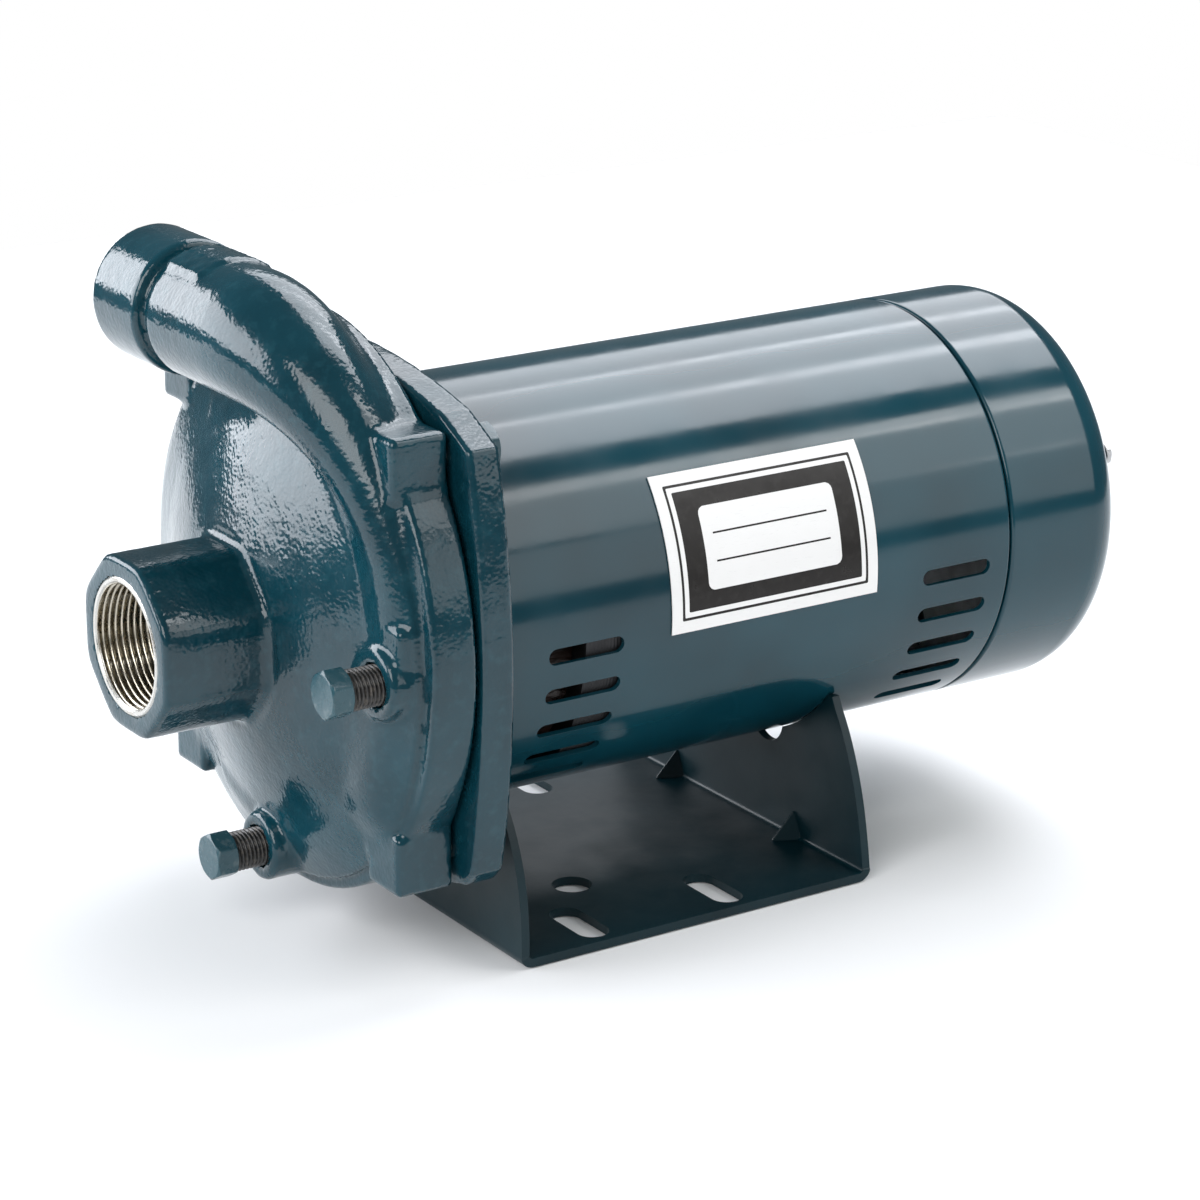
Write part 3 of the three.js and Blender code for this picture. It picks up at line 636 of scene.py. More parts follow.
def winding_with_painted_shade():
    """Wound copper wire under varnish, its colour darkened to near black as painted shade for the dim
    inside of the motor seen through the cooling slots.
    """
    # The near-black base colour is partly painted shade: the windings sit in the dark inside the shell.
    look = Look("winding", (0.026, 0.011, 0.007), 0.36, metallic=0.2)
    strands = look.noise(1.6, 2, 0.6, stretch=(0.3, 1, 1))
    look.tint(look.ramp(strands, 0.45, 0.7, 0, 0.8), (0.010, 0.006, 0.005))
    look.rough(look.noise(6, 3), 0.3, 0.7, 0.22, 0.42)
    look.bump(strands, 0.35)
    return look.material


def moulded(name, colour, roughness):
    """Plastic, rubber, carbon or ceramic with a fine moulded grain."""
    look = Look(name, colour, roughness)
    lighter = tuple(min(1, 1.5 * c + 0.01) for c in colour)
    look.tint(look.ramp(look.noise(6, 4), 0.5, 0.8, 0, 0.5), lighter)
    look.rough(look.noise(3, 3), 0.3, 0.7, roughness - 0.07, roughness + 0.12)
    look.bump(look.noise(0.9, 3), 0.03)
    return look.material


def floor_white():
    look = Look("floor_white", (0.92, 0.92, 0.92), 0.8)
    look.rough(look.noise(300, 2), 0.3, 0.7, 0.75, 0.85)
    return look.material


CAST = cast_enamel()
SHELL = shell_enamel()
BASE = base_enamel_with_painted_shade()
BOLT = bolt_enamel()
THREAD = thread_steel()
DARK_THREAD = dark_thread()
BARE_STEEL = machined_steel()
WHITE = label_white()
BLACK = label_black()

FINISHES = {
    "cast_enamel": CAST,
    "shell_enamel": SHELL,
    "bolt_enamel": BOLT,
    "steel": plain_metal("steel", (0.50, 0.50, 0.50), 0.34),
    "bearing_steel": plain_metal("bearing_steel", (0.66, 0.66, 0.67), 0.18),
    "lamination": laminations(),
    "aluminium": plain_metal("aluminium", (0.70, 0.71, 0.72), 0.42),
    "winding": winding_with_painted_shade(),
    "rubber": moulded("rubber", (0.020, 0.020, 0.021), 0.6),
    "carbon": moulded("carbon", (0.030, 0.030, 0.032), 0.42),
    "ceramic": moulded("ceramic", (0.82, 0.79, 0.72), 0.26),
    "bronze": plain_metal("bronze", (0.62, 0.42, 0.18), 0.34),
    "phenolic": moulded("phenolic", (0.030, 0.022, 0.018), 0.38),
    "plate": WHITE,
}


def finish_frame():
    """Gives each CAD node the finish of its material slot."""
    for part in frame["record"]["subparts"]:
        node = frame["nodes"][part["node"]]
        node.data.materials.clear()
        node.data.materials.append(FINISHES[part["material_slot"]])


# The casting at the pump end ---------------------------------------------------------------
VOLUTE_SMALL = {"x": -108, "radius": 9, "reach": 70}
VOLUTE_END_RADIUS = 21.3
VOLUTE_WALL = 6


def swell(turn):
    """How far the volute's spiral has come out, by the angle back from the discharge."""
    return np.exp(-((turn / 1.12) ** 2))


def fatness(turn):
    """How far its tube has grown, which happens closer to the discharge."""
    return np.exp(-((turn / 0.65) ** 2))


def volute(p, wall):
    """The volute's tube, with its wall taken off the radius, as far as the neck."""
    turn = np.arctan2(-p[:, 1], p[:, 2]) % (2 * math.pi)
    grown = swell(turn)
    small = VOLUTE_SMALL["radius"]
    radius = small + (VOLUTE_END_RADIUS - small) * fatness(turn) - wall
    distance = VOLUTE_SMALL["reach"] + (DISCHARGE_HEIGHT - VOLUTE_SMALL["reach"]) * grown
    x = VOLUTE_SMALL["x"] + (DISCHARGE_X - VOLUTE_SMALL["x"]) * grown ** 2
    spiral = np.hypot(np.hypot(p[:, 1], p[:, 2]) - distance, p[:, 0] - x) - radius
    straight = np.hypot(p[:, 0] - DISCHARGE_X, p[:, 2] - DISCHARGE_HEIGHT)
    straight = np.where(p[:, 1] > 0, straight - VOLUTE_END_RADIUS + wall, spiral)
    return rounded([np.minimum(spiral, straight), p[:, 1] - NECK_START], 2)


def casing_rim(p):
    """The disc at the casing's back, whose edge swells out with the volute."""
    turn = np.arctan2(-p[:, 1], p[:, 2])
    grown = np.where(turn > 0, swell(turn), np.exp(-((turn / 0.3) ** 2)))
    across = np.hypot(p[:, 1], p[:, 2]) - RIM_RADIUS - RIM_GROWTH * grown
    along = np.abs(p[:, 0] - (CASING_BACK + RIM_FRONT) / 2) - (CASING_BACK - RIM_FRONT) / 2
    return rounded([across, along], 1.4)


def suction_boss(p):
    """The octagon to take a wrench, with its corners and its mouth rounded."""
    y, z = p[:, 1], p[:, 2]
    flats = np.stack([np.abs(y), np.abs(z), np.abs(y + z) / 2 ** 0.5, np.abs(y - z) / 2 ** 0.5])
    octagon = flats.max(0) - SUCTION_FLATS / 2
    circle = np.hypot(y, z) - SUCTION_FLATS / 2 - 1.5
    across = -merged(-octagon, -circle, 1.5)
    end = CASING_FRONT + 4
    along = np.abs(p[:, 0] - (SUCTION_FACE + end) / 2) - (end - SUCTION_FACE) / 2
    return rounded([across, along], 1.8)


DOME = [
    (-98, -10), (-98, 86), (-112.5, 86.5), (-114.5, 82), (-119.2, 68), (-125, 53), (-129.3, 41),
    (CASING_FRONT - 1, 33), (CASING_FRONT - 1, -10),
]


def casting_lugs(p):
    """The four blocks around the casing bolts."""
    nearest = np.full(len(p), np.inf)
    for y, z in CASING_BOLTS:
        low = (-114.5, y - 10, z - 10)
        high = (CASING_BACK, y + 10, z + 10)
        nearest = np.minimum(nearest, box(p, low, high, 1.8))
    return nearest


def raised_pad(p):
    """A rough patch left on top of the tube, just behind its neck."""
    around = rod_along_y(
        p, 11, NECK_START - 0.3, VOLUTE_END_RADIUS + 0.9, DISCHARGE_X, DISCHARGE_HEIGHT)
    beside = np.abs(p[:, 0] - DISCHARGE_X) - 13
    below = DISCHARGE_HEIGHT - p[:, 2]
    return rounded([around, beside, below], 0.6) + 0.3 * ripple(p, 4.5)


def casing_outside(p):
    solid = merged(revolved(p, DOME), casing_rim(p), 1)
    solid = merged(solid, volute(p, 0), 5)
    solid = merged(solid, raised_pad(p), 1.2)
    solid = merged(solid, capsule(p, *RIB, RIB_RADIUS), 10)
    solid = merged(solid, casting_lugs(p), 2)
    solid = merged(solid, suction_boss(p), 4)
    for y, z, front in PLUGS.values():
        boss = rod_along_x(p, front - BOSS_RISE, -104, BOSS_RADIUS, y, z, 2)
        solid = merged(solid, boss, 2.5)
    solid = merged(solid, box(p, *VENT_BLOCK, 1.8), 2.5)
    neck = rod_along_y(p, NECK_START - 6, NECK_END + 2, NECK_RADIUS, DISCHARGE_X, DISCHARGE_HEIGHT)
    solid = merged(solid, neck, 1)
    collar = rod_along_y(
        p, NECK_END, DISCHARGE_END, DISCHARGE_RADIUS, DISCHARGE_X, DISCHARGE_HEIGHT, 2)
    solid = merged(solid, collar, 1)
    return solid + 0.04 * ripple(p, 11)


def casing_inside(p):
    chamber = revolved(p, [
        (-115, -10), (-115, CHAMBER_RADIUS - 8), (-111, CHAMBER_RADIUS), (-99.7, CHAMBER_RADIUS),
        (-99.7, PLATE_SEAT_RADIUS), (-90, PLATE_SEAT_RADIUS), (-90, -10),
    ])
    hollow = np.minimum(chamber, volute(p, VOLUTE_WALL))
    bore_end = SUCTION_FACE + SUCTION_DEPTH
    outlet_start = NECK_START - 4
    for cutter in (
        rod_along_x(p, SUCTION_FACE - 5, bore_end, SUCTION_BORE + 2.4, edge=0.3),
        rod_along_x(p, bore_end - 5, -110, INLET_RADIUS),
        rod_along_y(p, outlet_start, DISCHARGE_END, DISCHARGE_BORE - 0.6,
                    DISCHARGE_X, DISCHARGE_HEIGHT),
        rod_along_y(p, NECK_END + 5, DISCHARGE_END + 5, DISCHARGE_BORE + 2.2,
                    DISCHARGE_X, DISCHARGE_HEIGHT, 0.3),
    ):
        hollow = np.minimum(hollow, cutter)
    for y, z, _ in PLUGS.values():
        hollow = np.minimum(hollow, rod_along_x(p, -140, -108, PLUG_RADIUS + 0.6, y, z))
    for y, z in CASING_BOLTS:
        hollow = np.minimum(hollow, rod_along_x(p, -103.6, -90, 4.4, y, z))
    return hollow


def casing_field(p):
    return carved(casing_outside(p), casing_inside(p), 0.6)


def volute_casing():
    low = (SUCTION_FACE - 2, -RIM_RADIUS - 5, -RIM_RADIUS - 5)
    high = (CASING_BACK + 2, RIM_RADIUS + 3, DISCHARGE_HEIGHT + DISCHARGE_RADIUS + 2)
    points, faces = skin(casing_field, low, high, 1.3)
    fixed(new_object("volute_casing", points, faces, CAST, 60), "volute_casing")


def suction_thread():
    sleeve = helix(
        "suction_thread", SUCTION_FACE + 0.6, SUCTION_FACE + SUCTION_DEPTH, SUCTION_BORE + 2.6,
        SUCTION_BORE, SUCTION_PITCH, 1.8, THREAD, taper=0.8)
    extra(sleeve)
    mouth = turned("suction_mouth", [
        (SUCTION_FACE + 1, SUCTION_BORE + 0.1), (SUCTION_FACE + 0.1, SUCTION_BORE + 0.9),
        (SUCTION_FACE + 0.02, SUCTION_BORE + 1.9), (SUCTION_FACE + 0.5, SUCTION_BORE + 2.5),
        (SUCTION_FACE + 1, SUCTION_BORE + 2.5),
    ], BARE_STEEL, 128)
    extra(mouth)


def discharge_thread():
    sleeve = helix(
        "discharge_thread", -DISCHARGE_END + 0.6, -DISCHARGE_END + 22, DISCHARGE_BORE + 2.4,
        DISCHARGE_BORE, DISCHARGE_PITCH, 1.4, THREAD, taper=0.6)
    turn_to_discharge(sleeve)
    extra(sleeve)


def turn_to_discharge(made):
    """Lays a piece made along X, with its mouth towards -X, along the discharge instead."""
    co = coordinates(made.data)
    store(made.data, np.stack([
        co[:, 1] + DISCHARGE_X, -co[:, 0], co[:, 2] + DISCHARGE_HEIGHT], 1))
    outwards(made, 60)


# Plugs and bolts ---------------------------------------------------------------------------
def hexagon(name, flats, x0, x1, finish, both_ends=False):
    """A hexagon head from x0 to x1, its corners chamfered by a cone at x1 or at both ends."""
    segments = 120
    angles = np.arange(segments) * 2 * math.pi / segments
    from_flat = (angles + math.pi / 6) % (math.pi / 3) - math.pi / 6
    corner = flats / 2 / math.cos(math.pi / 6)
    outline = np.minimum(flats / 2 / np.cos(from_flat), corner * 0.985)
    fall = corner - flats / 2 * 0.96
    steps = [(share * fall * 0.6, corner - fall * (1 - share)) for share in np.linspace(0, 1, 5)]
    rings = [(x0 + x, limit) for x, limit in steps] if both_ends else [(x0, corner)]
    rings += [(x1 - x, limit) for x, limit in reversed(steps)]
    points = [
        (x, radius * math.cos(a), radius * math.sin(a))
        for x, limit in rings for a, radius in zip(angles, np.minimum(outline, limit))
    ]
    faces = ring_faces(len(rings), segments, closed=False)
    faces += [tuple(range(segments))[::-1], tuple(range(len(points) - segments, len(points)))]
    made = new_object(name, points, faces, finish, 20)
    outwards(made, 20)
    return made


def pipe_plug(name):
    y, z, front = PLUGS[name]
    body = {"vent_plug": "vent", "drain_plug": "drain"}[name]
    head = hexagon(name, 14.3, front - 20.5, front - 12.8, BOLT, both_ends=True)
    fixed(moved(head, 0, y, z), name, body)
    thread = helix(
        name + "_thread", front - 13, front + 8, 1, PLUG_RADIUS, PLUG_PITCH, 0.9, DARK_THREAD)
    extra(moved(thread, 0, y, z), body)


def casing_bolt(number, y, z):
    name = f"casing_bolt_{number}"
    head = hexagon(name, 14, FLANGE_BACK + 1.7, FLANGE_BACK + 7.4, BOLT)
    fixed(moved(head, 0, y, z), name)
    washer = turned(name + "_washer", [
        (FLANGE_BACK + 0.3, 4.2), (FLANGE_BACK + 0.3, 8.2), (FLANGE_BACK + 0.6, 8.5),
        (FLANGE_BACK + 1.3, 8.5), (FLANGE_BACK + 1.65, 8.1), (FLANGE_BACK + 1.65, 4.2),
    ], BOLT, 64, y, z)
    extra(washer)
    shank = helix(name + "_shank", -103.2, FLANGE_BACK + 1.8, 0.6, 4, 1.4, 0.7, FINISHES["steel"])
    extra(moved(shank, 0, y, z))


def canopy_screw(number, y, z):
    name = f"canopy_screw_{number}"
    head = hexagon(name, 8, CANOPY_BACK + 1.1, CANOPY_BACK + 3.6, FINISHES["steel"])
    fixed(moved(head, 0, y, z), name)
    washer = turned(name + "_flange", [
        (CANOPY_BACK + 0.3, 0), (CANOPY_BACK + 0.3, 5.4), (CANOPY_BACK + 0.7, 5.5),
        (CANOPY_BACK + 1.15, 4.4), (CANOPY_BACK + 1.15, 0),
    ], FINISHES["steel"], 48, y, z)
    extra(washer)
    shank = helix(name + "_shank", 124, CANOPY_BACK + 0.4, 0.4, 2, 0.9, 0.4, FINISHES["steel"])
    extra(moved(shank, 0, y, z))


# The motor -----------------------------------------------------------------------------------
def bow(a, control, b, count):
    """Points along a quadratic curve, without its last."""
    t = np.linspace(0, 1, count, endpoint=False)[:, None]
    return (1 - t) ** 2 * np.array(a) + 2 * t * (1 - t) * np.array(control) + t ** 2 * np.array(b)


def flange_outline():
    y, top, bottom = FLANGE_CORNER["y"], FLANGE_CORNER["top"], FLANGE_CORNER["bottom"]
    trim = 5
    over = 2 * FLANGE_MIDDLE["top"] - top
    under = 2 * FLANGE_MIDDLE["bottom"] - bottom
    side = 2 * FLANGE_MIDDLE["y"] - y
    return np.concatenate([
        bow((-y + trim, -bottom), (0, -under), (y - trim, -bottom), 14),
        bow((y, -bottom + trim), (side, 0), (y, top - trim), 14),
        bow((y - trim, top), (0, over), (-y + trim, top), 14),
        bow((-y, top - trim), (-side, 0), (-y, -bottom + trim), 14),
        [(-y, -bottom + trim)],
    ])


FLANGE_OUTLINE = flange_outline()


def end_bell_field(p):
    across = outline_distance(p[:, 1], p[:, 2], FLANGE_OUTLINE)
    along = np.abs(p[:, 0] - (FLANGE_FRONT + FLANGE_BACK) / 2) - (FLANGE_BACK - FLANGE_FRONT) / 2
    solid = rounded([across, along], 1.3)
    solid = merged(solid, rod_along_x(p, FLANGE_BACK - 5, -74, SHELL_RADIUS - 1.9), 1)
    solid = merged(solid, revolved(p, [
        (-84, -5), (-84, 34), (-80, 34), (-66, 30), (-53.7, 24), (-53.7, -5)]), 3)
    pocket = rod_along_x(p, -66.3, -50, 20.3, edge=0.2)
    hollow = np.minimum(pocket, rod_along_x(p, -95, -70.7, 22.6, edge=0.2))
    hollow = np.minimum(hollow, rod_along_x(p, -75, -60, 9.7, edge=0.2))
    for y, z in CASING_BOLTS:
        hollow = np.minimum(hollow, rod_along_x(p, -95, -78, 4.4, y, z))
    return carved(solid, hollow, 0.4) + 0.05 * ripple(p, 15)


def end_bell_front():
    low = (FLANGE_FRONT - 2, -94, -84)
    high = (-52, 94, 91)
    points, faces = skin(end_bell_field, low, high, 1.25)
    fixed(new_object("end_bell_front", points, faces, CAST, 60), "end_bell_front")


SLOT_ANGLES = [-4, -15.5, -27, -38.5, -50]
SLOT_CENTRES = [-41, 108]
SLOT_LENGTH = 28.5
SLOT_WIDTH = 5.6


def cooling_slot(x, side, angle):
    """A round-ended cutter through the shell, as high as the angle says above the side."""
    straight = (SLOT_LENGTH - SLOT_WIDTH) / 2
    outline = arc((x + straight, 0), SLOT_WIDTH / 2, -90, 90, 10)
    outline += arc((x - straight, 0), SLOT_WIDTH / 2, 90, 270, 10)
    direction = np.array([0, side * math.cos(math.radians(angle)), math.sin(math.radians(angle))])
    along = np.cross([1, 0, 0], direction)
    points = [
        np.array([u, 0, 0]) + along * v + direction * depth
        for depth in (SHELL_RADIUS - 5, SHELL_RADIUS + 3) for u, v in outline
    ]
    return prism("slot", points)


def round_normals(made):
    """Shades the faces on the shell's two cylinders as truly round."""
    mesh = made.data
    co = coordinates(mesh)
    normals = [corner.vector.copy() for corner in mesh.corner_normals]
    for face in mesh.polygons:
        for loop, vertex in zip(face.loop_indices, face.vertices):
            radial = Vector((0, co[vertex][1], co[vertex][2])).normalized()
            facing = face.normal.dot(radial)
            if abs(facing) > 0.97:
                normals[loop] = radial * math.copysign(1, facing)
    mesh.normals_split_custom_set(normals)


def motor_shell():
    inner = SHELL_RADIUS - SHELL_WALL
    edge = 0.5
    tube = turned("motor_shell", [
        (SHELL_FRONT, inner), (SHELL_FRONT, SHELL_RADIUS - edge),
        (SHELL_FRONT + edge, SHELL_RADIUS), (SEAM - 1.2, SHELL_RADIUS),
        (SEAM - 0.35, SHELL_RADIUS - 0.3), (SEAM, SHELL_RADIUS - 0.9), (SEAM, inner),
    ], SHELL, 192)
    slots = [
        cooling_slot(x, side, angle)
        for x in SLOT_CENTRES for side in (-1, 1) for angle in SLOT_ANGLES
    ]
    combine(tube, slots, "DIFFERENCE")
    bevelled(tube, 0.4, 2, 50)
    round_normals(tube)
    fixed(tube, "motor_shell")


def rear_canopy():
    front, wall, corner = SEAM + 0.9, 1.4, CANOPY_EDGE_RADIUS
    outside = arc((CANOPY_BACK - corner, SHELL_RADIUS - corner), corner, 90, 0, 14)
    inside = arc(
        (CANOPY_BACK - corner, SHELL_RADIUS - corner), corner - wall, 0, 90, 10)
    cup = turned("rear_canopy", [
        (front, SHELL_RADIUS - wall), (front, SHELL_RADIUS - 0.9),
        (front + 0.35, SHELL_RADIUS - 0.3), (front + 1.2, SHELL_RADIUS),
        *outside, (CANOPY_BACK, 2), (CANOPY_BACK - wall, 2), *inside,
    ], SHELL, 192)
    holes = [rod_cutter(CANOPY_BACK - 5, CANOPY_BACK + 2, 2.6, y, z) for y, z in CANOPY_SCREWS]
    entry = turned("entry", [(60, 0), (60, 11), (75, 11), (75, 0)], None, 64)
    holes.append(moved(swing(entry), CONDUIT_X, 0, 0))
    combine(cup, holes, "DIFFERENCE")
    cap = rod_cutter(CANOPY_BACK - wall, CANOPY_BACK, 2.2, 0, 0)
    combine(cup, [cap], "UNION")
    bevelled(cup, 0.35, 2, 50)
    fixed(cup, "rear_canopy")


def rod_cutter(x0, x1, radius, y, z, segments=48):
    return turned("rod", [(x0, 0), (x0, radius), (x1, radius), (x1, 0)], None, segments, y, z)


# The data plate ----------------------------------------------------------------------------
PLATE = {"x0": -8.7, "x1": 73.8, "low": -4.5, "high": 37.8}
PLATE_RADIUS = SHELL_RADIUS + 0.3


def rounded_rectangle(x0, x1, s0, s1, corner, step=1.5):
    """Evenly spaced points round a rectangle, with its corners as arcs."""
    points = []
    for x, s, start in (
        (x1 - corner, s1 - corner, 0), (x0 + corner, s1 - corner, 90),
        (x0 + corner, s0 + corner, 180), (x1 - corner, s0 + corner, 270),
    ):
        points += arc((x, s), corner, start, start + 90, 6)
    spaced = []
    for a, b in zip(points, points[1:] + points[:1]):
        count = max(1, round(math.dist(a, b) / step))
        spaced += [tuple(np.array(a) + (np.array(b) - a) * i / count) for i in range(count)]
    return spaced


def bent(x, s, radius):
    """A point of the flat plate, s up round the near side of the shell."""
    angle = s / SHELL_RADIUS
    return (x, -radius * math.cos(angle), radius * math.sin(angle))


def plate_strip(name, x0, x1, s0, s1, lift, thickness, finish):
    """A closed rectangle of sheet bent round the shell."""
    rows = max(2, round((s1 - s0) / 1.5))
    base = PLATE_RADIUS + lift
    points = [
        bent(x, s, base + height)
        for s in np.linspace(s0, s1, rows + 1)
        for x, height in ((x0, 0), (x1, 0), (x1, thickness), (x0, thickness))
    ]
    faces = ring_faces(rows + 1, 4, closed=False)
    faces += [(3, 2, 1, 0), tuple(rows * 4 + k for k in range(4))]
    made = new_object(name, points, faces, finish, 30)
    outwards(made, 30)
    return made


def plate_frame(name, outer, inner, corner, lift, finish):
    """A printed frame between two rectangles (x0, x1, s0, s1) of the plate."""
    thickness = 0.04
    first = rounded_rectangle(*outer, 0.5)
    middle = np.array([(outer[0] + outer[1]) / 2, (outer[2] + outer[3]) / 2])
    second = [nearest_on(inner, corner, np.array(point) - middle, middle) for point in first]
    count = len(first)
    across = [(share, thickness) for share in np.linspace(0, 1, 9)]
    points = []
    for share, height in [(0, 0), *across, (1, 0)]:
        for a, b in zip(first, second):
            x, s = (a[0] + (b[0] - a[0]) * share, a[1] + (b[1] - a[1]) * share)
            points.append(bent(x, s, PLATE_RADIUS + lift + height))
    made = new_object(name, points, ring_faces(len(across) + 2, count, closed=True), finish, 30)
    outwards(made, 30)
    return made


def nearest_on(rectangle, corner, direction, middle):
    """Where a ray from the middle meets a rectangle whose corners are rounded."""
    half = np.array([rectangle[1] - rectangle[0], rectangle[3] - rectangle[2]]) / 2
    low, high = 0.0, 2.0
    for _ in range(24):
        share = (low + high) / 2
        past = np.abs(direction * share) - half + corner
        outside = math.hypot(*np.maximum(past, 0)) - corner > 0
        low, high = (low, share) if outside else (share, high)
    return tuple(middle + direction * low)


def inset(rectangle, along, up):
    return (rectangle[0] + along, rectangle[1] - along, rectangle[2] + up, rectangle[3] - up)


def nameplate():
    low, high = (math.radians(PLATE[side]) * SHELL_RADIUS for side in ("low", "high"))
    whole = (PLATE["x0"], PLATE["x1"], low, high)
    plate = plate_strip("nameplate", *whole, 0, 0.35, WHITE)
    fixed(plate, "nameplate")
    lift = 0.34
    line = inset(whole, 4, 4)
    extra(plate_frame("plate_line", line, inset(line, 0.9, 0.9), 0.5, lift, BLACK))
    border = inset(whole, 6.6, 6.6)
    window = inset(whole, 14.5, 12.5)
    extra(plate_frame("plate_border", border, window, 2.5, lift, BLACK))
    rows = 3
    for i in range(1, rows):
        s = window[2] + (window[3] - window[2]) * i / rows
        rule = plate_strip(
            f"plate_rule_{i}", window[0] + 4, window[1] - 4, s - 0.3, s + 0.3, lift, 0.04, BLACK)
        extra(rule)


# The base ----------------------------------------------------------------------------------
FRONT_WALL = {"shoulder_y": 61, "shoulder_z": -50, "bulge": 3}
REAR_WALL = {"shoulder_y": 56, "shoulder_z": -46, "bulge": -4}
BEND = 4.5


def wall_half_width(wall, z):
    curve = bow(
        (BASE_HALF_WIDTH, FLOOR), (BASE_HALF_WIDTH + wall["bulge"], wall["shoulder_z"] - 22),
        (wall["shoulder_y"], wall["shoulder_z"]), 40)
    return float(np.interp(z, curve[:, 1], curve[:, 0]))


def base_path():
    """Outer and inner points (x, z) of the folded sheet with its half width at each."""
    stations = []
    for side, wall in ((-1, FRONT_WALL), (1, REAR_WALL)):
        half = []
        for z in np.linspace(wall["shoulder_z"], FLOOR + BEND, 16):
            outer = (side * BASE_HALF_LENGTH, z)
            inner = (side * (BASE_HALF_LENGTH - SHEET), z)
            half.append((outer, inner, wall_half_width(wall, z)))
        centre = (BASE_HALF_LENGTH - BEND, FLOOR + BEND)
        for a in np.radians(np.linspace(0, -90, 9))[1:]:
            outer, inner = (
                (side * (centre[0] + r * math.cos(a)), centre[1] + r * math.sin(a))
                for r in (BEND, BEND - SHEET)
            )
            half.append((outer, inner, BASE_HALF_WIDTH))
        stations.append(half)
    return stations[0] + stations[1][::-1]


def upright_cutter(x, y, radius, straight):
    """A round-ended cutter through the bottom plate, long along Y."""
    outline = arc((x, y + straight), radius, 0, 180, 16) + arc((x, y - straight), radius, 180, 360, 16)
    points = [(u, v, z) for z in (FLOOR - 2, FLOOR + SHEET + 2) for u, v in outline]
    return prism("hole", points)


def fold_dart(side, y):
    """A pressed dart across a fold: a ridge that dies out along the fold both ways."""
    edge = side * (BASE_HALF_LENGTH - SHEET)
    floor = FLOOR + SHEET
    reach, half = 11, 5.5
    points = [
        (edge - side * reach, y, floor - 0.3), (edge + side * 0.3, y, floor + reach),
        (edge + side * 1.5, y - half, floor - 1.5), (edge + side * 1.5, y + half, floor - 1.5),
    ]
    made = new_object("dart", points, [(0, 1, 2), (1, 0, 3), (0, 2, 3), (1, 3, 2)], None)
    outwards(made)
    bevelled(made, 1.2, 3, 20)
    return made


def motor_base():
    path = base_path()
    points = []
    for outer, inner, half in path:
        for (x, z), y in ((outer, -half), (outer, half), (inner, half), (inner, -half)):
            points.append((x, y, z))
    faces = ring_faces(len(path), 4, closed=False)
    faces += [(0, 1, 2, 3), tuple(len(points) - 4 + k for k in range(4))]
    made = new_object("motor_base", points, faces, BASE, 30)
    outwards(made, 30)
    combine(made, [fold_dart(side, y) for side in (-1, 1) for y in (-36, 36)], "UNION")
    slots, holes, wall = BASE_SLOTS, BASE_HOLES, WALL_HOLES
    past = BASE_HALF_LENGTH + 10
    cutters = [rod_cutter(-past, past, SHELL_RADIUS + 0.3, 0, 0, 192)]
    for side in (-1, 1):
        cutters.append(rod_cutter(-past, past, wall["radius"], side * wall["y"], wall["z"]))
    for side in (-1, 1):
        for x in slots["x"]:
            cutters.append(
                upright_cutter(x, side * slots["y"], slots["radius"], slots["straight"]))
        cutters.append(
            upright_cutter(holes["x"], side * holes["y"], holes["radius"], holes["straight"]))
    combine(made, cutters, "DIFFERENCE")
    bevelled(made, 0.45, 2, 40)
    fixed(made, "motor_base")


# The studio --------------------------------------------------------------------------------
STAND = 1.6
FLOOR_HALF = 0.95
LAVENDER = (0.93, 0.95, 1)
WHITE_LIGHT = (1, 1, 1)
# Each box: its direction from the pump, the axis its height runs along, its width and height
# in metres, its brightness and its colour.
SOFTBOXES = [
    ((0.518, 0.65, 0.55), (0, -0.70, 0.70), 0.9, 0.64, 3, LAVENDER),
    ((0.518, 0.36, 0.77), (0, -0.88, 0.47), 0.9, 0.70, 4.6, LAVENDER),
    ((0.518, 0.02, 0.855), (0, -1, 0.02), 0.9, 0.62, 6, LAVENDER),
    ((0.518, -0.44, 0.735), (0, 0.86, 0.51), 0.9, 0.16, 6, WHITE_LIGHT),
    ((0.518, -0.62, 0.59), (0, 0.69, 0.72), 0.9, 0.62, 2.6, WHITE_LIGHT),
    ((0.518, -0.82, 0.25), (0, 0.29, 0.96), 0.9, 0.62, 1.6, WHITE_LIGHT),
    ((-0.72, 0.61, 0.33), (0, 0, 1), 1.9, 0.85, 7, LAVENDER),
    ((-0.75, -0.50, 0.47), (0, 0, 1), 1.0, 0.9, 5, WHITE_LIGHT),
]


def camera():
    data = bpy.data.cameras.new("camera")
    data.lens = 114.06
    data.sensor_width = 36
    made = bpy.data.objects.new("camera", data)
    made.location = (-0.6611, -1.0311, 0.4982)
    made.rotation_euler = (math.radians(71.633), 0, math.radians(-33.058))
    bpy.context.scene.collection.objects.link(made)
    bpy.context.scene.camera = made


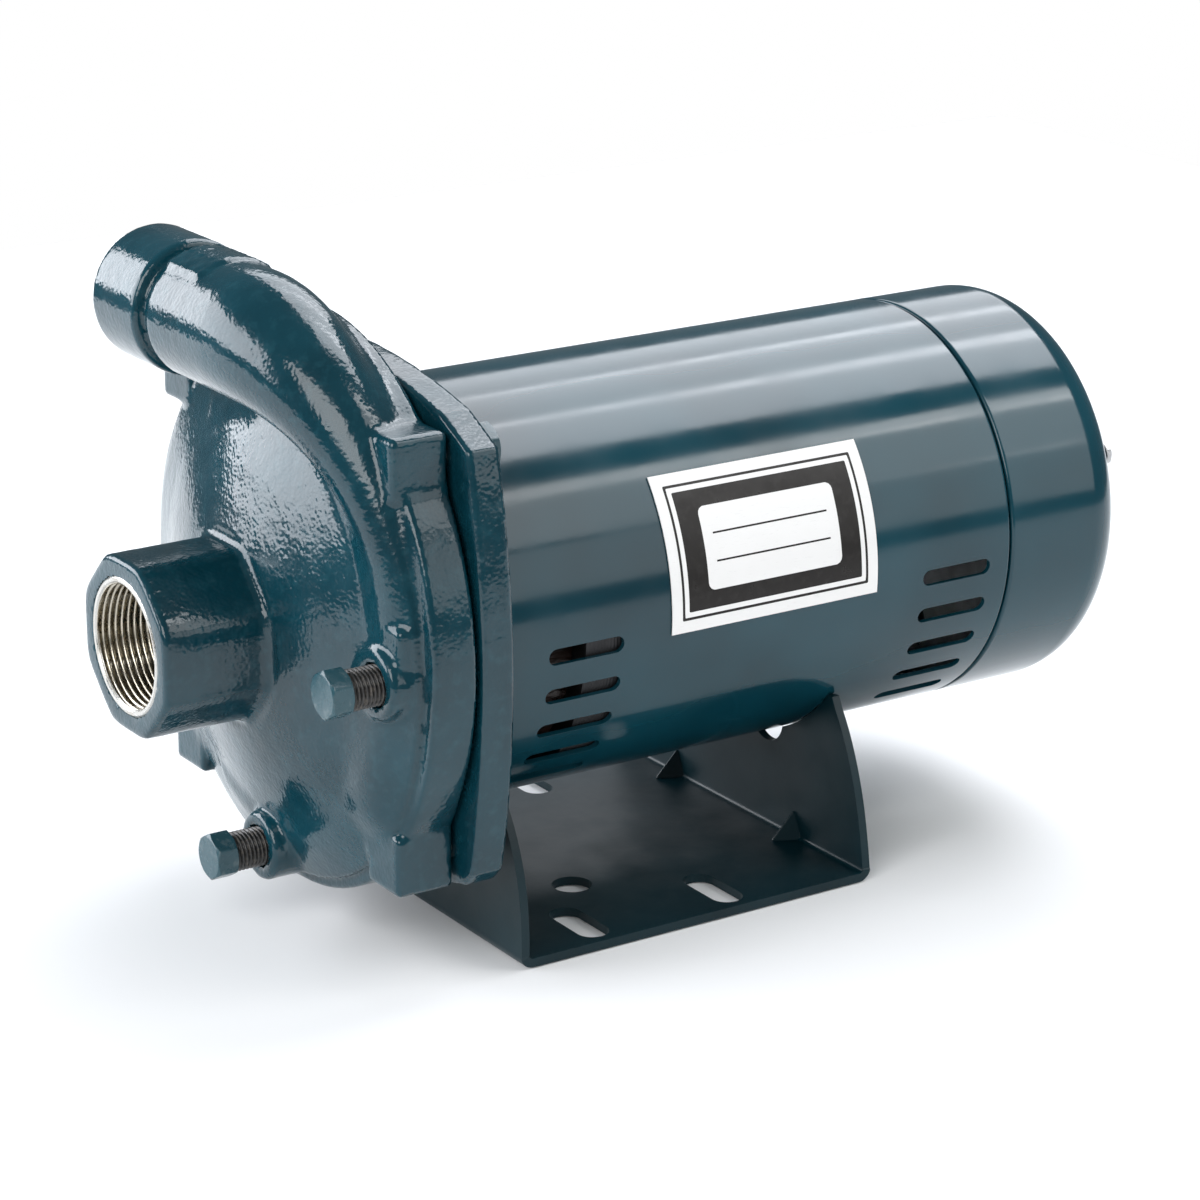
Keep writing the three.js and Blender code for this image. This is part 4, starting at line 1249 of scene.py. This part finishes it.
def softbox(name, direction, height_axis, width, height, brightness, colour):
    """A soft light STAND metres from the pump, with its height along a chosen axis."""
    data = bpy.data.lights.new(name, "AREA")
    data.shape = "RECTANGLE"
    data.size = width
    data.size_y = height
    data.energy = brightness * math.pi * width * height
    data.color = colour
    towards = Vector(direction).normalized()
    across = Vector(height_axis).cross(towards).normalized()
    axes = Matrix((across, towards.cross(across), towards)).transposed()
    made = bpy.data.objects.new(name, data)
    made.location = towards * STAND + Vector((0, 0, SHAFT_HEIGHT * MM))
    made.rotation_euler = axes.to_euler()
    made.visible_camera = False
    bpy.context.scene.collection.objects.link(made)


def studio():
    size = FLOOR_HALF
    mesh = bpy.data.meshes.new("floor")
    mesh.from_pydata(
        [(-size, -size, 0), (size, -size, 0), (size, size, 0), (-size, size, 0)], [], [(0, 1, 2, 3)])
    floor = bpy.data.objects.new("floor", mesh)
    floor.location.z = -0.0005
    mesh.materials.append(floor_white())
    bpy.context.scene.collection.objects.link(floor)

    for number, (place, lean, width, height, brightness, colour) in enumerate(SOFTBOXES, 1):
        softbox(f"softbox_{number}", place, lean, width, height, brightness, colour)

    world = bpy.data.worlds.new("world")
    world.use_nodes = True
    tree = world.node_tree
    background = tree.nodes["Background"]
    background.inputs["Color"].default_value = (0.75, 0.85, 0.9, 1)
    background.inputs["Strength"].default_value = 0.2
    white = tree.nodes.new("ShaderNodeBackground")
    white.inputs["Color"].default_value = (1, 1, 1, 1)
    ray = tree.nodes.new("ShaderNodeLightPath")
    mix = tree.nodes.new("ShaderNodeMixShader")
    tree.links.new(ray.outputs["Is Camera Ray"], mix.inputs["Fac"])
    tree.links.new(background.outputs["Background"], mix.inputs[1])
    tree.links.new(white.outputs["Background"], mix.inputs[2])
    tree.links.new(mix.outputs["Shader"], tree.nodes["World Output"].inputs["Surface"])
    bpy.context.scene.world = world
    bpy.context.scene.view_settings.view_transform = "Standard"


camera()
studio()
finish_frame()
volute_casing()
suction_thread()
discharge_thread()
for plug in PLUGS:
    pipe_plug(plug)
for number, place in enumerate(CASING_BOLTS, 1):
    casing_bolt(number, *place)
end_bell_front()
motor_shell()
rear_canopy()
for number, place in enumerate(CANOPY_SCREWS, 1):
    canopy_screw(number, *place)
nameplate()
motor_base()
